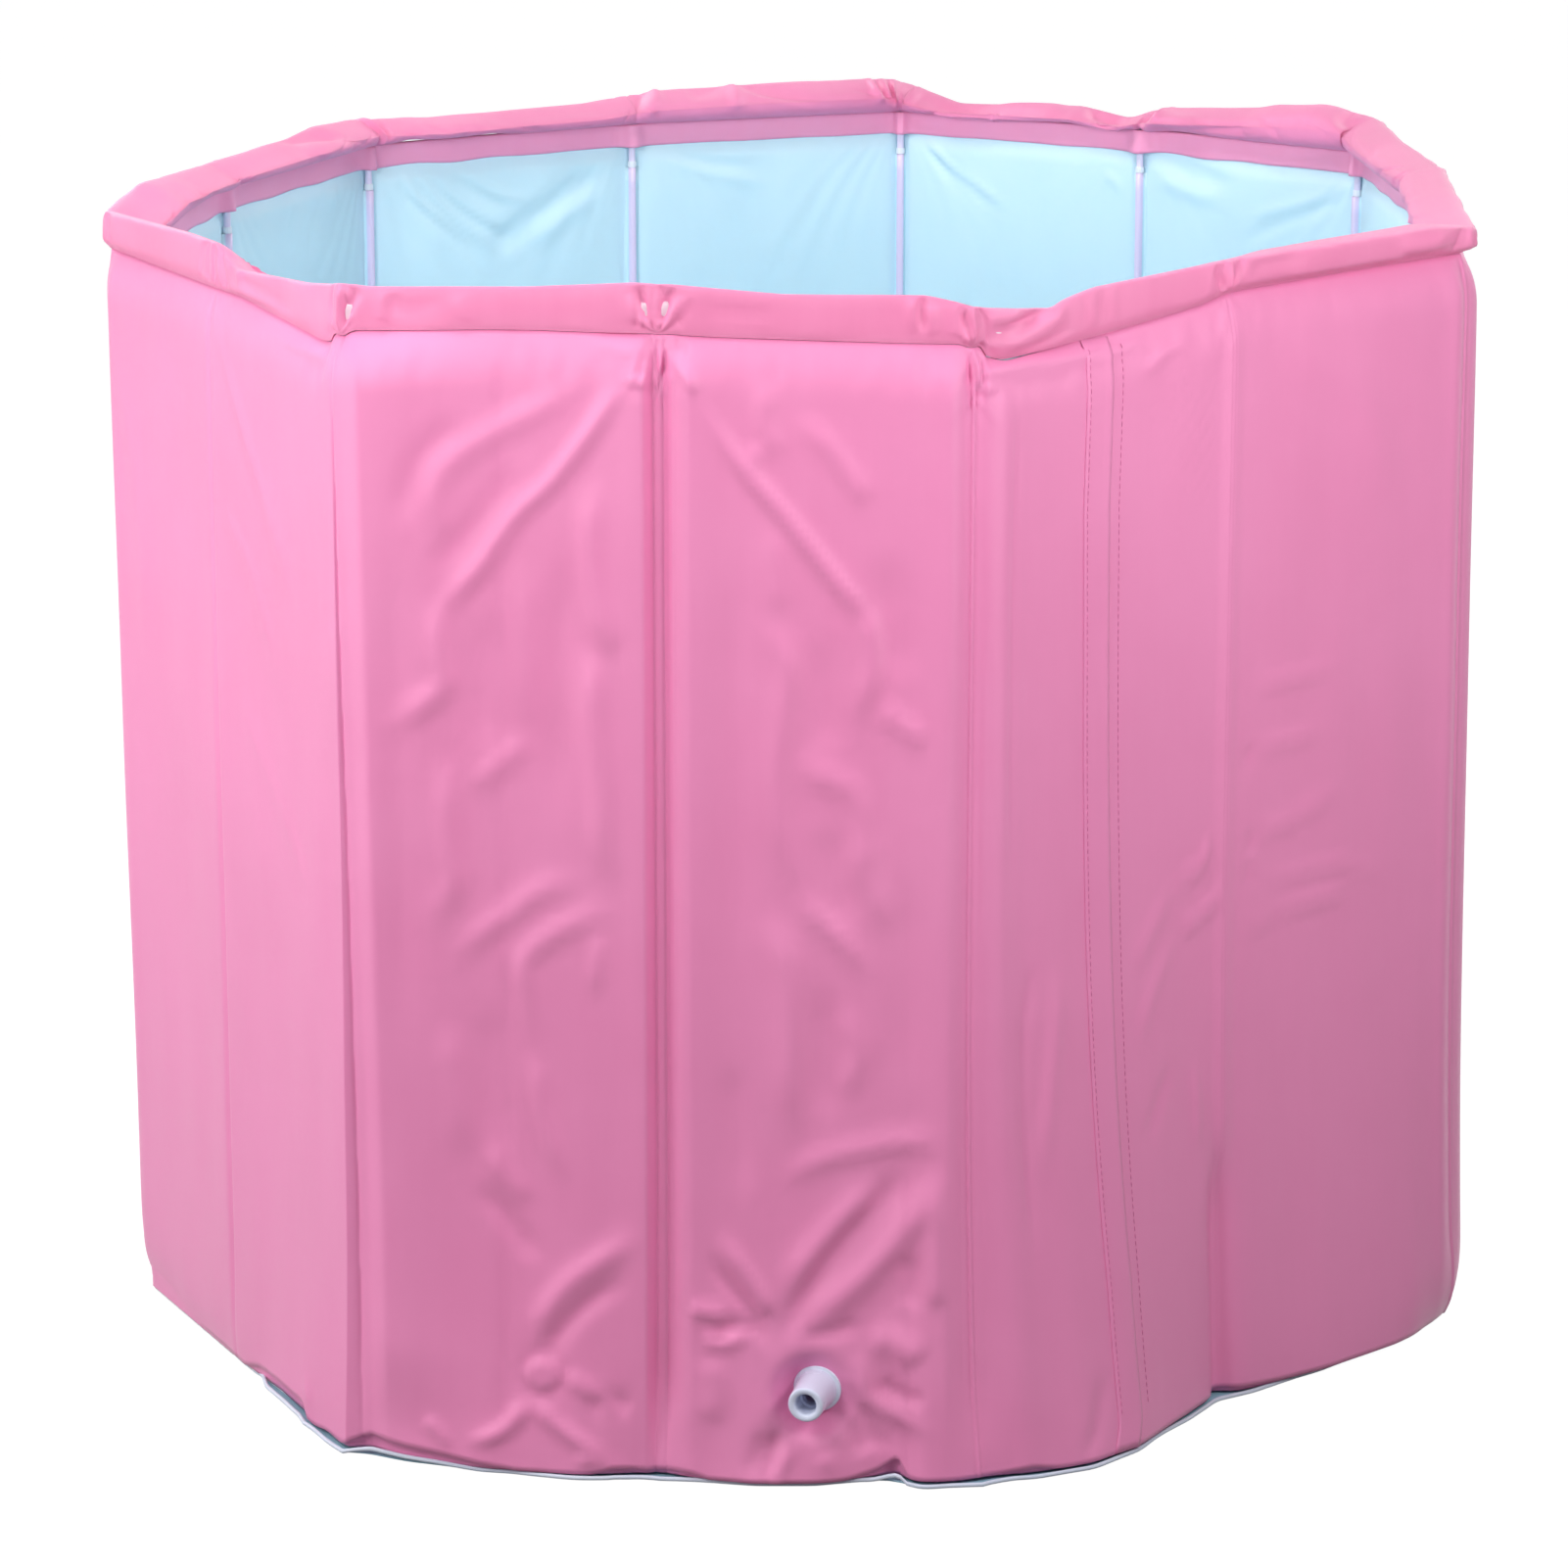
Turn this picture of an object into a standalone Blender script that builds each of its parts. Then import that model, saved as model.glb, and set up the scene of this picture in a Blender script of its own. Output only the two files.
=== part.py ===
"""Portable soft-walled bathtub with an inflatable rim.

Fourteen foam boards stand in a ring between a pink coated skin and a pale blue liner. A slim pole
in a film sleeve holds up each corner, and an air tube in a fabric cover softens the edge. A drain
spout goes through the front wall and a filling valve sits on the back of the rim. Units are metres,
+Z is up, the part stands on z = 0 and the front wall with the drain faces -Y.
"""

import math

import bmesh
import bpy
from mathutils import Matrix, Vector

# Overall plan: a loose ring of equal boards, standing a little out of round as a soft wall does
TUB_HEIGHT = 0.650
CORNER_RADIUS = 0.383
PANEL_COUNT = 14
FIRST_CORNER_SHARE = 0.22
CORNER_RADIUS_SHARES = (
    *(1.02, 0.98, 1.07, 0.975, 0.985, 0.89, 1.03),
    *(1.00, 1.115, 1.025, 1.055, 0.94, 0.975, 0.945),
)
CORNER_TURN_SHARES = (
    *(0.17, 0.03, -0.13, -0.15, -0.15, -0.02, 0.06),
    *(0.09, 0.05, -0.08, -0.11, -0.05, 0.10, 0.17),
)
FIT_GAP = 0.0003
SMOOTH_ANGLE = math.radians(40)

# Wall layers, from the outside in
SKIN_THICKNESS = 0.0010
BOARD_THICKNESS = 0.0080
LINER_THICKNESS = 0.0010
BOARD_EDGE_RADIUS = 0.0060
GROOVE_FLOOR_WIDTH = 0.0104
EDGE_ARC_STEPS = 3

# Top of the wall
NECK_HEIGHT = 0.0080
SHOULDER_HEIGHT = 0.0120
SHOULDER_RISE_SHARES = (0.0, 0.55, 0.85, 1.0)
SHOULDER_DRAW_SHARES = (0.0, 0.20, 0.60, 1.0)
BAND_THICKNESS = 0.0008
BAND_HEIGHT = 0.0140

# Base
BASE_SHEET_THICKNESS = 0.0010
BASE_PAD_THICKNESS = 0.0080
FLOOR_THICKNESS = 0.0010
BASE_APRON = 0.0030
CORNER_EASE = 0.0040
PIPING_RADIUS = 0.0012
SKIN_HEM_LIFT = 0.0016

# Corner poles and their film sleeves
POLE_RADIUS = 0.0019
POLE_SLACK = 0.0080
POLE_CLEARANCE = 0.0015
POLE_SIDES = 10
CAP_RING_RADIUS = 0.0027
CAP_RING_LENGTH = 0.0034
CAP_RADIUS = 0.0021
FILM_THICKNESS = 0.0004
FILM_FLANGE = 0.0060
FILM_FOOT = 0.0012
ARCH_STEPS = 6

# Inflatable rim
RIM_WIDTH = 0.0320
RIM_HEIGHT = 0.0200
RIM_COVER_THICKNESS = 0.0008
RIM_PUCKER_LENGTH = 0.0150
RIM_SECTION_POINTS = 12
RIM_SQUARENESS = 2.6
RIM_CORNER_WIDTH_SHARE = 0.80
RIM_MIDDLE_HEIGHT_SHARE = 0.94

# Closing lap of the skin
LAP_PANEL_INDEX = 4
LAP_ALONG_SHARE = 0.52
LAP_WIDTH = 0.0150
LAP_THICKNESS = 0.0008

# Drain
DRAIN_PANEL_INDEX = 3
DRAIN_ALONG_SHARE = 0.506
DRAIN_HEIGHT = 0.0510
TURNED_STEPS = 24
SPOUT_LENGTH = 0.0265
SPOUT_END_RADIUS = 0.0096
SPOUT_ROOT_RADIUS = 0.0112
SPOUT_LIP = 0.0012
SPOUT_BORE_RADIUS = 0.0059
DRAIN_FLANGE_RADIUS = 0.0133
DRAIN_FLANGE_THICKNESS = 0.0026
DRAIN_STEP = 0.0014
BARREL_RADIUS = 0.0082
GASKET_THICKNESS = 0.0010
GASKET_WIDTH = 0.0040
NUT_THICKNESS = 0.0050
NUT_RADIUS = 0.0140
NUT_SIDES = 6
STOPPER_LENGTH = 0.0120
STOPPER_CLEARANCE = 0.0004
STOPPER_TAPER = 0.0006
STOPPER_HEAD_RADIUS = 0.0100
STOPPER_HEAD_THICKNESS = 0.0030
STOPPER_GRIP_WIDTH = 0.0100
STOPPER_GRIP_LENGTH = 0.0110
STOPPER_GRIP_THICKNESS = 0.0030

# Round stud let into one board beneath the skin
STUD_PANEL_INDEX = 2
STUD_ALONG_SHARE = 0.635
STUD_HEIGHT = 0.0570
STUD_RADIUS = 0.0088
STUD_THICKNESS = 0.0030

# Filling valve on the back of the rim
VALVE_PANEL_INDEX = 10
VALVE_FLANGE_RADIUS = 0.0058
VALVE_FLANGE_THICKNESS = 0.0012
VALVE_NECK_RADIUS = 0.0042
VALVE_NECK_LENGTH = 0.0050
VALVE_BORE_RADIUS = 0.0026
VALVE_CAP_RADIUS = 0.0050
VALVE_CAP_THICKNESS = 0.0016
VALVE_PIN_RADIUS = 0.0020
VALVE_PIN_TIP_RADIUS = 0.0014
VALVE_PIN_LENGTH = 0.0030
VALVE_STRAP_WIDTH = 0.0030
VALVE_STRAP_THICKNESS = 0.0010
CUT_OVERRUN = 0.0020

# Depths below the wall's outer face and heights above the ground that follow from the sizes above
BOARD_OUTER = SKIN_THICKNESS + FIT_GAP
BOARD_INNER = BOARD_OUTER + BOARD_THICKNESS
LINER_OUTER = BOARD_INNER + FIT_GAP
LINER_INNER = LINER_OUTER + LINER_THICKNESS
WELD_DEPTH = BOARD_INNER - SKIN_THICKNESS
BAND_OUTER = LINER_INNER + FIT_GAP
SEAM_HEIGHT = TUB_HEIGHT - RIM_HEIGHT
SEAM_TOP = SEAM_HEIGHT - FIT_GAP
WALL_TOP = SEAM_HEIGHT - NECK_HEIGHT
RIM_DEPTH = (WELD_DEPTH + BAND_OUTER + BAND_THICKNESS) / 2
PAD_BOTTOM = BASE_SHEET_THICKNESS + FIT_GAP
PAD_TOP = PAD_BOTTOM + BASE_PAD_THICKNESS
FLOOR_BOTTOM = PAD_TOP + FIT_GAP
FLOOR_TOP = FLOOR_BOTTOM + FLOOR_THICKNESS
POLE_FOOT = FLOOR_TOP + FIT_GAP
POLE_DEPTH = LINER_INNER + FIT_GAP + CAP_RING_RADIUS
POLE_TOP = SEAM_TOP - FIT_GAP - POLE_SLACK
CAP_RING_TOP = SEAM_TOP - BAND_HEIGHT - POLE_CLEARANCE - POLE_SLACK


def corner_angle(index):
    """Direction of a corner from the middle: even steps round the circle, each nudged by its share."""
    pitch = math.tau / PANEL_COUNT
    nudge = CORNER_TURN_SHARES[index % len(CORNER_TURN_SHARES)]
    return (FIRST_CORNER_SHARE + index + nudge) * pitch - math.pi


def plan_corners():
    """Corners of the wall's outer face, anticlockwise from above; the drain's panel faces the front."""
    corners = []
    for index in range(PANEL_COUNT):
        radius = CORNER_RADIUS * CORNER_RADIUS_SHARES[index % len(CORNER_RADIUS_SHARES)]
        angle = corner_angle(index)
        corners.append(Vector((radius * math.cos(angle), radius * math.sin(angle))))
    corners[DRAIN_PANEL_INDEX + 1].y = corners[DRAIN_PANEL_INDEX].y
    return corners


def centred_corners():
    """The corners moved so that the finished tub's width and depth are centred on the origin."""
    hem = eased_outline(-(BASE_APRON + FIT_GAP + 2 * PIPING_RADIUS))
    spout_end = GASKET_THICKNESS + 2 * FIT_GAP + DRAIN_FLANGE_THICKNESS + SPOUT_LENGTH
    reach = hem + [panel_point(DRAIN_PANEL_INDEX, 0, -spout_end)]
    low = Vector((min(point.x for point in reach), min(point.y for point in reach)))
    high = Vector((max(point.x for point in reach), max(point.y for point in reach)))
    return [corner - (low + high) / 2 for corner in CORNERS]


def panel_axes(index):
    """Unit directions of one panel: along it, and into the tub."""
    start, end = CORNERS[index % PANEL_COUNT], CORNERS[(index + 1) % PANEL_COUNT]
    along = (end - start).normalized()
    return along, Vector((-along.y, along.x))


def panel_length(index):
    return (CORNERS[(index + 1) % PANEL_COUNT] - CORNERS[index % PANEL_COUNT]).length


def panel_point(index, distance, depth):
    """Plan point at a distance along a panel and a depth below its outer face."""
    along, inward = panel_axes(index)
    return CORNERS[index % PANEL_COUNT] + along * distance + inward * depth


def corner_inward(index):
    """Vector into the tub at a corner, long enough to move both adjoining faces in by one unit."""
    before, after = panel_axes(index - 1)[1], panel_axes(index)[1]
    return (before + after) / (1 + before.dot(after))


def corner_point(index, depth):
    """Plan corner of the wall's outline moved in by a depth."""
    return CORNERS[index % PANEL_COUNT] + corner_inward(index) * depth


def outline(depth):
    return [corner_point(index, depth) for index in range(PANEL_COUNT)]


def linear(red, green, blue):
    """Screen colour from 0 to 255 as the linear values that a shader takes."""
    shares = [value / 255 for value in (red, green, blue)]
    return [s / 12.92 if s <= 0.04045 else ((s + 0.055) / 1.055) ** 2.4 for s in shares]


def material(name, colour, roughness, metallic=0.0):
    made = bpy.data.materials.new(name)
    made.use_nodes = True
    shader = made.node_tree.nodes["Principled BSDF"]
    shader.inputs["Base Color"].default_value = (*linear(*colour), 1.0)
    shader.inputs["Roughness"].default_value = roughness
    shader.inputs["Metallic"].default_value = metallic
    return made


def new_object(name, mesh, finish, parent=None):
    obj = bpy.data.objects.new(name, mesh)
    bpy.context.collection.objects.link(obj)
    obj.parent = parent
    if finish and not mesh.materials:
        mesh.materials.append(finish)
    return obj


def finished_mesh(name, work):
    """A bmesh turned into a mesh with its faces outwards and its round sides smooth."""
    bmesh.ops.recalc_face_normals(work, faces=work.faces)
    mesh = bpy.data.meshes.new(name)
    work.to_mesh(mesh)
    work.free()
    mesh.shade_smooth()
    mesh.set_sharp_from_angle(angle=SMOOTH_ANGLE)
    return mesh


def prism(name, points, low, high, finish, parent=None):
    """A plan outline raised from one height to another."""
    work = bmesh.new()
    face = work.faces.new([work.verts.new((p.x, p.y, low)) for p in points])
    raised = bmesh.ops.extrude_face_region(work, geom=[face])
    top = [item for item in raised["geom"] if isinstance(item, bmesh.types.BMVert)]
    bmesh.ops.translate(work, verts=top, vec=(0, 0, high - low))
    return new_object(name, finished_mesh(name, work), finish, parent)


def loft(name, rings, finish):
    """Closed rings of points bridged one to the next and the last to the first, which encloses a solid."""
    work = bmesh.new()
    made = [[work.verts.new(point) for point in ring] for ring in rings]
    for ring, following in zip(made, made[1:] + made[:1]):
        for step in range(len(ring)):
            after = (step + 1) % len(ring)
            work.faces.new((ring[step], ring[after], following[after]))
            work.faces.new((ring[step], following[after], following[step]))
    return new_object(name, finished_mesh(name, work), finish)


def turned(name, profile, steps, finish, parent=None):
    """A closed profile of radius and height pairs spun about the local Z axis."""
    work = bmesh.new()
    points = [work.verts.new((radius, 0, height)) for radius, height in profile]
    edges = [work.edges.new(pair) for pair in zip(points, points[1:] + points[:1])]
    bmesh.ops.spin(
        work,
        geom=points + edges,
        axis=(0, 0, 1),
        cent=(0, 0, 0),
        angle=math.tau,
        steps=steps,
        use_merge=True,
    )
    bmesh.ops.remove_doubles(work, verts=work.verts, dist=FIT_GAP / 100)
    loose = [edge for edge in work.edges if not edge.link_faces]
    bmesh.ops.delete(work, geom=loose, context="EDGES")
    return new_object(name, finished_mesh(name, work), finish, parent)


def cutter(name, radius, low, high, parent):
    """Round cutter on its parent's Z axis."""
    profile = [(0, low), (radius, low), (radius, high), (0, high)]
    return guide(turned(name, profile, TURNED_STEPS, None, parent))


def guide(obj):
    """Marks a shape that only cuts or joins others."""
    obj.hide_render = True
    obj.display_type = "WIRE"
    return obj


def combine(obj, tool, operation):
    modifier = obj.modifiers.new(tool.name, "BOOLEAN")
    modifier.operation = operation
    modifier.solver = "EXACT"
    modifier.object = tool


def outward_frame(name, index, distance, depth, height):
    """Empty on a panel, with its X axis along the panel, its Y axis up and its Z axis out of the tub."""
    along, inward = panel_axes(index)
    place = panel_point(index, distance, depth)
    turn = Matrix(((along.x, 0, -inward.x), (along.y, 0, -inward.y), (0, 1, 0)))
    frame = bpy.data.objects.new(name, None)
    bpy.context.collection.objects.link(frame)
    frame.matrix_world = Matrix.Translation((place.x, place.y, height)) @ turn.to_4x4()
    return frame


def board_start():
    """Distance from a corner to the square inner edge of a foam board."""
    return GROOVE_FLOOR_WIDTH / 2 + SKIN_THICKNESS + FIT_GAP


def edge_arc(radius):
    """Distance and depth pairs round the outer edge of a board, from its side to its face."""
    middle_distance = board_start() + BOARD_EDGE_RADIUS
    middle_depth = BOARD_OUTER + BOARD_EDGE_RADIUS
    quarter = math.pi / 2
    turns = [quarter * step / EDGE_ARC_STEPS for step in range(EDGE_ARC_STEPS + 1)]
    return [(middle_distance - radius * math.cos(t), middle_depth - radius * math.sin(t)) for t in turns]


def skin_ring(radius, floor_depth, height, least_depth):
    """One level of the skin: welded flat at each corner and rounded over each board's edge."""
    half = [(board_start() + BOARD_EDGE_RADIUS - radius, floor_depth)] + edge_arc(radius)
    ring = []
    for index in range(PANEL_COUNT):
        length = panel_length(index)
        places = [corner_point(index, max(floor_depth, least_depth))]
        places += [panel_point(index, u, max(s, least_depth)) for u, s in half]
        places += [panel_point(index, length - u, max(s, least_depth)) for u, s in reversed(half)]
        ring += [(place.x, place.y, height) for place in places]
    return ring


def skin_side(radius, floor_depth, drop):
    """Levels of one face of the skin, from the hem to the stitched seam."""
    face_depth = BOARD_OUTER + BOARD_EDGE_RADIUS - radius
    levels = [skin_ring(radius, floor_depth, BASE_SHEET_THICKNESS + SKIN_HEM_LIFT, face_depth)]
    for rise, draw in zip(SHOULDER_RISE_SHARES, SHOULDER_DRAW_SHARES):
        height = WALL_TOP - SHOULDER_HEIGHT * (1 - rise) - drop
        depth = face_depth + (floor_depth - face_depth) * draw
        levels.append(skin_ring(radius, floor_depth, height, depth))
    levels.append(skin_ring(radius, floor_depth, SEAM_TOP, floor_depth))
    return levels


def build_skin(finish):
    """The outer skin: over every board, down into every corner groove and drawn in under the rim."""
    outer = skin_side(BOARD_EDGE_RADIUS + FIT_GAP + SKIN_THICKNESS, WELD_DEPTH, 0)
    inner = skin_side(BOARD_EDGE_RADIUS + FIT_GAP, BOARD_INNER, SKIN_THICKNESS)
    return loft("outer_skin", outer + inner[::-1], finish)


def build_boards(finish):
    """A foam board in each panel, its outer edges rounded where the skin wraps over them."""
    top = WALL_TOP - SHOULDER_HEIGHT - SKIN_THICKNESS - FIT_GAP
    boards = []
    for index in range(PANEL_COUNT):
        length = panel_length(index)
        arc = edge_arc(BOARD_EDGE_RADIUS)
        side = [(board_start(), BOARD_INNER)] + arc
        plan = side + [(length - u, s) for u, s in reversed(side)]
        board = prism(f"foam_board_{index + 1:02d}", [Vector(p) for p in plan], PAD_BOTTOM, top, finish)
        along = panel_axes(index)[0]
        board.location = (*CORNERS[index], 0)
        board.rotation_euler.z = math.atan2(along.y, along.x)
        boards.append(board)
    return boards


def ring_wall(name, outer, inner, low, high, finish):
    """An upright wall between two outlines with as many points each."""
    rings = [(outer, low), (outer, high), (inner, high), (inner, low)]
    return loft(name, [[(p.x, p.y, z) for p in plan] for plan, z in rings], finish)


def build_liner(finish):
    """The waterproof bag: a wall welded at its foot to a floor sheet."""
    faces = outline(LINER_OUTER), outline(LINER_INNER)
    wall = ring_wall("liner_wall", *faces, FLOOR_BOTTOM, SEAM_TOP, finish)
    prism("liner_floor", outline(LINER_INNER + FIT_GAP), FLOOR_BOTTOM, FLOOR_TOP, finish)
    return wall


def pole_arch(index, film, flange):
    """Middle line of a film that lies on the liner at both sides and arches over the corner's pole."""
    centre = corner_point(index, POLE_DEPTH)
    inward = corner_inward(index).normalized()
    across = Vector((inward.y, -inward.x))
    radius = POLE_RADIUS + FIT_GAP + film / 2
    depth = LINER_INNER + FIT_GAP + film / 2
    foot = radius + FILM_FOOT + corner_slip(index, depth)
    length = panel_length(index - 1)
    arch = []
    for step in range(ARCH_STEPS + 1):
        turn = math.pi * step / ARCH_STEPS
        arch.append(centre - across * (radius * math.cos(turn)) + inward * (radius * math.sin(turn)))
    before = [panel_point(index - 1, length - foot - far, depth) for far in (flange, 0)]
    after = [panel_point(index, foot + far, depth) for far in (0, flange)]
    return before + arch + after


def corner_slip(index, depth):
    """How far along each panel the corner of an outline at this depth lies from the outer corner."""
    return abs((corner_point(index, depth) - CORNERS[index % PANEL_COUNT]).dot(panel_axes(index)[0]))


def beside(line, distance, closed):
    """The line moved sideways to its left, with mitred corners."""
    moved = []
    for step, point in enumerate(line):
        last = line[step - 1] if closed or step else None
        following = line[(step + 1) % len(line)] if closed or step + 1 < len(line) else None
        legs = [(point - last).normalized()] if last is not None else []
        legs += [(following - point).normalized()] if following is not None else []
        normals = [Vector((-leg.y, leg.x)) for leg in legs]
        first, second = normals[0], normals[-1]
        moved.append(point + (first + second) / (1 + first.dot(second)) * distance)
    return moved


def build_sleeves(finish):
    """A film strip over each pole, welded to the liner on both sides."""
    top = CAP_RING_TOP - CAP_RING_LENGTH - FIT_GAP
    for index in range(PANEL_COUNT):
        line = pole_arch(index, FILM_THICKNESS, FILM_FLANGE)
        half = FILM_THICKNESS / 2
        plan = beside(line, half, False) + beside(line, -half, False)[::-1]
        prism(f"pole_sleeve_{index + 1:02d}", plan, POLE_FOOT, top, finish)


def build_band(finish):
    """The inside band that hangs from the rim's seam and runs over the head of every pole."""
    line = []
    for index in range(PANEL_COUNT):
        line += pole_arch(index, BAND_THICKNESS, FILM_FLANGE)
    half = BAND_THICKNESS / 2
    outer, inner = beside(line, -half, True), beside(line, half, True)
    return ring_wall("inner_band", outer, inner, SEAM_TOP - BAND_HEIGHT, SEAM_TOP, finish)


def pole_profile():
    """Radius and height pairs of a pole: rounded foot, plain rod, cap with a stop ring, rounded tip."""
    ease = POLE_RADIUS / 2
    ring_bottom = CAP_RING_TOP - CAP_RING_LENGTH
    foot = [(0, POLE_FOOT), (ease, POLE_FOOT), (POLE_RADIUS, POLE_FOOT + ease)]
    ring = [(POLE_RADIUS, ring_bottom), (CAP_RING_RADIUS, ring_bottom), (CAP_RING_RADIUS, CAP_RING_TOP)]
    tip = [(CAP_RADIUS, CAP_RING_TOP), (CAP_RADIUS, POLE_TOP - ease), (ease, POLE_TOP), (0, POLE_TOP)]
    return foot + ring + tip


def build_poles(finish):
    """Fourteen poles of one mesh, each standing on its own axis."""
    first = turned("pole_01", pole_profile(), POLE_SIDES, finish)
    poles = [first] + [new_object(f"pole_{n:02d}", first.data, finish) for n in range(2, PANEL_COUNT + 1)]
    for index, pole in enumerate(poles):
        pole.location = (*corner_point(index, POLE_DEPTH), 0)
    return poles


def rim_stations():
    """Plan point, inward direction, width share and height share at each station of the rim."""
    stations = []
    for index in range(PANEL_COUNT):
        inward, length = panel_axes(index)[1], panel_length(index)
        stations.append((corner_point(index, RIM_DEPTH), corner_inward(index), RIM_CORNER_WIDTH_SHARE, 1))
        for distance, height_share in (
            (RIM_PUCKER_LENGTH, 1),
            (length / 2, RIM_MIDDLE_HEIGHT_SHARE),
            (length - RIM_PUCKER_LENGTH, 1),
        ):
            stations.append((panel_point(index, distance, RIM_DEPTH), inward, 1, height_share))
    return stations


def rim_section():
    """Unit outline of the tube: a superellipse with flat facets below and at the sides."""
    points = []
    for step in range(RIM_SECTION_POINTS):
        angle = math.tau * (step + 1 / 2) / RIM_SECTION_POINTS
        across, up = math.cos(angle), math.sin(angle)
        power = 2 / RIM_SQUARENESS
        points.append((math.copysign(abs(across) ** power, across), math.copysign(abs(up) ** power, up)))
    reach = max(across for across, _ in points)
    return [(across / reach, up / reach) for across, up in points]


def rim_rings(inset):
    """The tube's sections a given distance inside its outer face."""
    rings = []
    for place, inward, width_share, height_share in rim_stations():
        half_width = RIM_WIDTH * width_share / 2
        half_height = RIM_HEIGHT * height_share / 2
        ring = []
        for across, up in rim_section():
            plan = place + inward * (across * (half_width - inset))
            ring.append((plan.x, plan.y, SEAM_HEIGHT + half_height + up * (half_height - inset)))
        rings.append(ring)
    return rings


def build_rim(cover_finish, tube_finish):
    """The air tube and, round it, a hollow cover that is open only where the valve comes through."""
    cover = loft("rim_cover", rim_rings(0), cover_finish)
    hollow = guide(loft("rim_hollow", rim_rings(RIM_COVER_THICKNESS), None))
    loft("rim_air_tube", rim_rings(RIM_COVER_THICKNESS + FIT_GAP), tube_finish)
    combine(cover, hollow, "DIFFERENCE")
    return cover


def build_base(sheet_finish, pad_finish, piping_finish):
    """The base sheet with its piped edge, and the foam pad under the liner's floor."""
    prism("base_sheet", eased_outline(-BASE_APRON), 0, BASE_SHEET_THICKNESS, sheet_finish)
    prism("base_pad", outline(LINER_OUTER), PAD_BOTTOM, PAD_TOP, pad_finish)
    curve = bpy.data.curves.new("hem_piping", "CURVE")
    curve.dimensions = "3D"
    curve.bevel_depth = PIPING_RADIUS
    curve.bevel_resolution = 1
    spline = curve.splines.new("POLY")
    route = eased_outline(-(BASE_APRON + FIT_GAP + PIPING_RADIUS))
    spline.points.add(len(route) - 1)
    for point, place in zip(spline.points, route):
        point.co = (place.x, place.y, PIPING_RADIUS, 1)
    spline.use_cyclic_u = True
    new_object("hem_piping", curve, piping_finish)


def eased_outline(depth):
    """Outline at a depth, with each corner cut across between two points."""
    route = []
    for index in range(PANEL_COUNT):
        length = panel_length(index)
        route += [panel_point(index, CORNER_EASE, depth), panel_point(index, length - CORNER_EASE, depth)]
    return route


def build_lap(finish):
    """The lap that closes the skin into a ring, on the panel right of the drain."""
    middle = panel_length(LAP_PANEL_INDEX) * LAP_ALONG_SHARE
    sides = (middle - LAP_WIDTH / 2, middle + LAP_WIDTH / 2)
    faces = (-FIT_GAP, -FIT_GAP - LAP_THICKNESS)
    ends = [(sides[0], faces[0]), (sides[1], faces[0]), (sides[1], faces[1]), (sides[0], faces[1])]
    plan = [panel_point(LAP_PANEL_INDEX, u, s) for u, s in ends]
    prism("closing_lap", plan, BASE_SHEET_THICKNESS + SKIN_HEM_LIFT, WALL_TOP - SHOULDER_HEIGHT, finish)


def drain_body_profile():
    """Spout, stepped flange and barrel in one turned shape, with the bore right through."""
    seat = GASKET_THICKNESS + 2 * FIT_GAP
    face = seat + DRAIN_FLANGE_THICKNESS
    end = face + SPOUT_LENGTH
    back = -(LINER_INNER + 2 * FIT_GAP + NUT_THICKNESS)
    outside = [
        (SPOUT_BORE_RADIUS + SPOUT_LIP / 2, end),
        (SPOUT_END_RADIUS - SPOUT_LIP / 2, end),
        (SPOUT_END_RADIUS, end - SPOUT_LIP / 2),
        (SPOUT_ROOT_RADIUS, face + DRAIN_STEP),
        (SPOUT_ROOT_RADIUS, face),
        (DRAIN_FLANGE_RADIUS - SPOUT_LIP / 2, face),
        (DRAIN_FLANGE_RADIUS, face - SPOUT_LIP / 2),
        (DRAIN_FLANGE_RADIUS, seat),
        (BARREL_RADIUS, seat),
        (BARREL_RADIUS, back),
    ]
    return outside + [(SPOUT_BORE_RADIUS, back), (SPOUT_BORE_RADIUS, end - SPOUT_LIP / 2)]


def build_drain(plastic, rubber, skin, board, liner):
    """The drain through the front wall: spout, gasket, lock nut and stopper, and the hole they sit in."""
    place = panel_length(DRAIN_PANEL_INDEX) * DRAIN_ALONG_SHARE
    frame = outward_frame("drain_axis", DRAIN_PANEL_INDEX, place, 0, DRAIN_HEIGHT)
    turned("drain_spout", drain_body_profile(), TURNED_STEPS, plastic, frame)
    inside = BARREL_RADIUS + FIT_GAP
    ring = [(inside, FIT_GAP), (inside + GASKET_WIDTH, FIT_GAP)]
    ring += [(radius, FIT_GAP + GASKET_THICKNESS) for radius, _ in reversed(ring)]
    turned("drain_gasket", ring, TURNED_STEPS, rubber, frame)
    hole = cutter("drain_hole", inside, -(LINER_INNER + CUT_OVERRUN), CUT_OVERRUN, frame)
    for obj in (skin, board, liner):
        combine(obj, hole, "DIFFERENCE")
    build_lock_nut(plastic, frame)
    build_stopper(rubber, frame)


def build_lock_nut(finish, frame):
    """Hexagonal nut on the barrel, against the liner."""
    front = -(LINER_INNER + FIT_GAP)
    back = front - NUT_THICKNESS
    flats = [math.tau * side / NUT_SIDES for side in range(NUT_SIDES)]
    plan = [Vector((NUT_RADIUS * math.cos(a), NUT_RADIUS * math.sin(a))) for a in flats]
    nut = prism("drain_lock_nut", plan, back, front, finish, frame)
    bore = cutter("nut_bore", BARREL_RADIUS + FIT_GAP, back - CUT_OVERRUN, front + CUT_OVERRUN, frame)
    combine(nut, bore, "DIFFERENCE")


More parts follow.
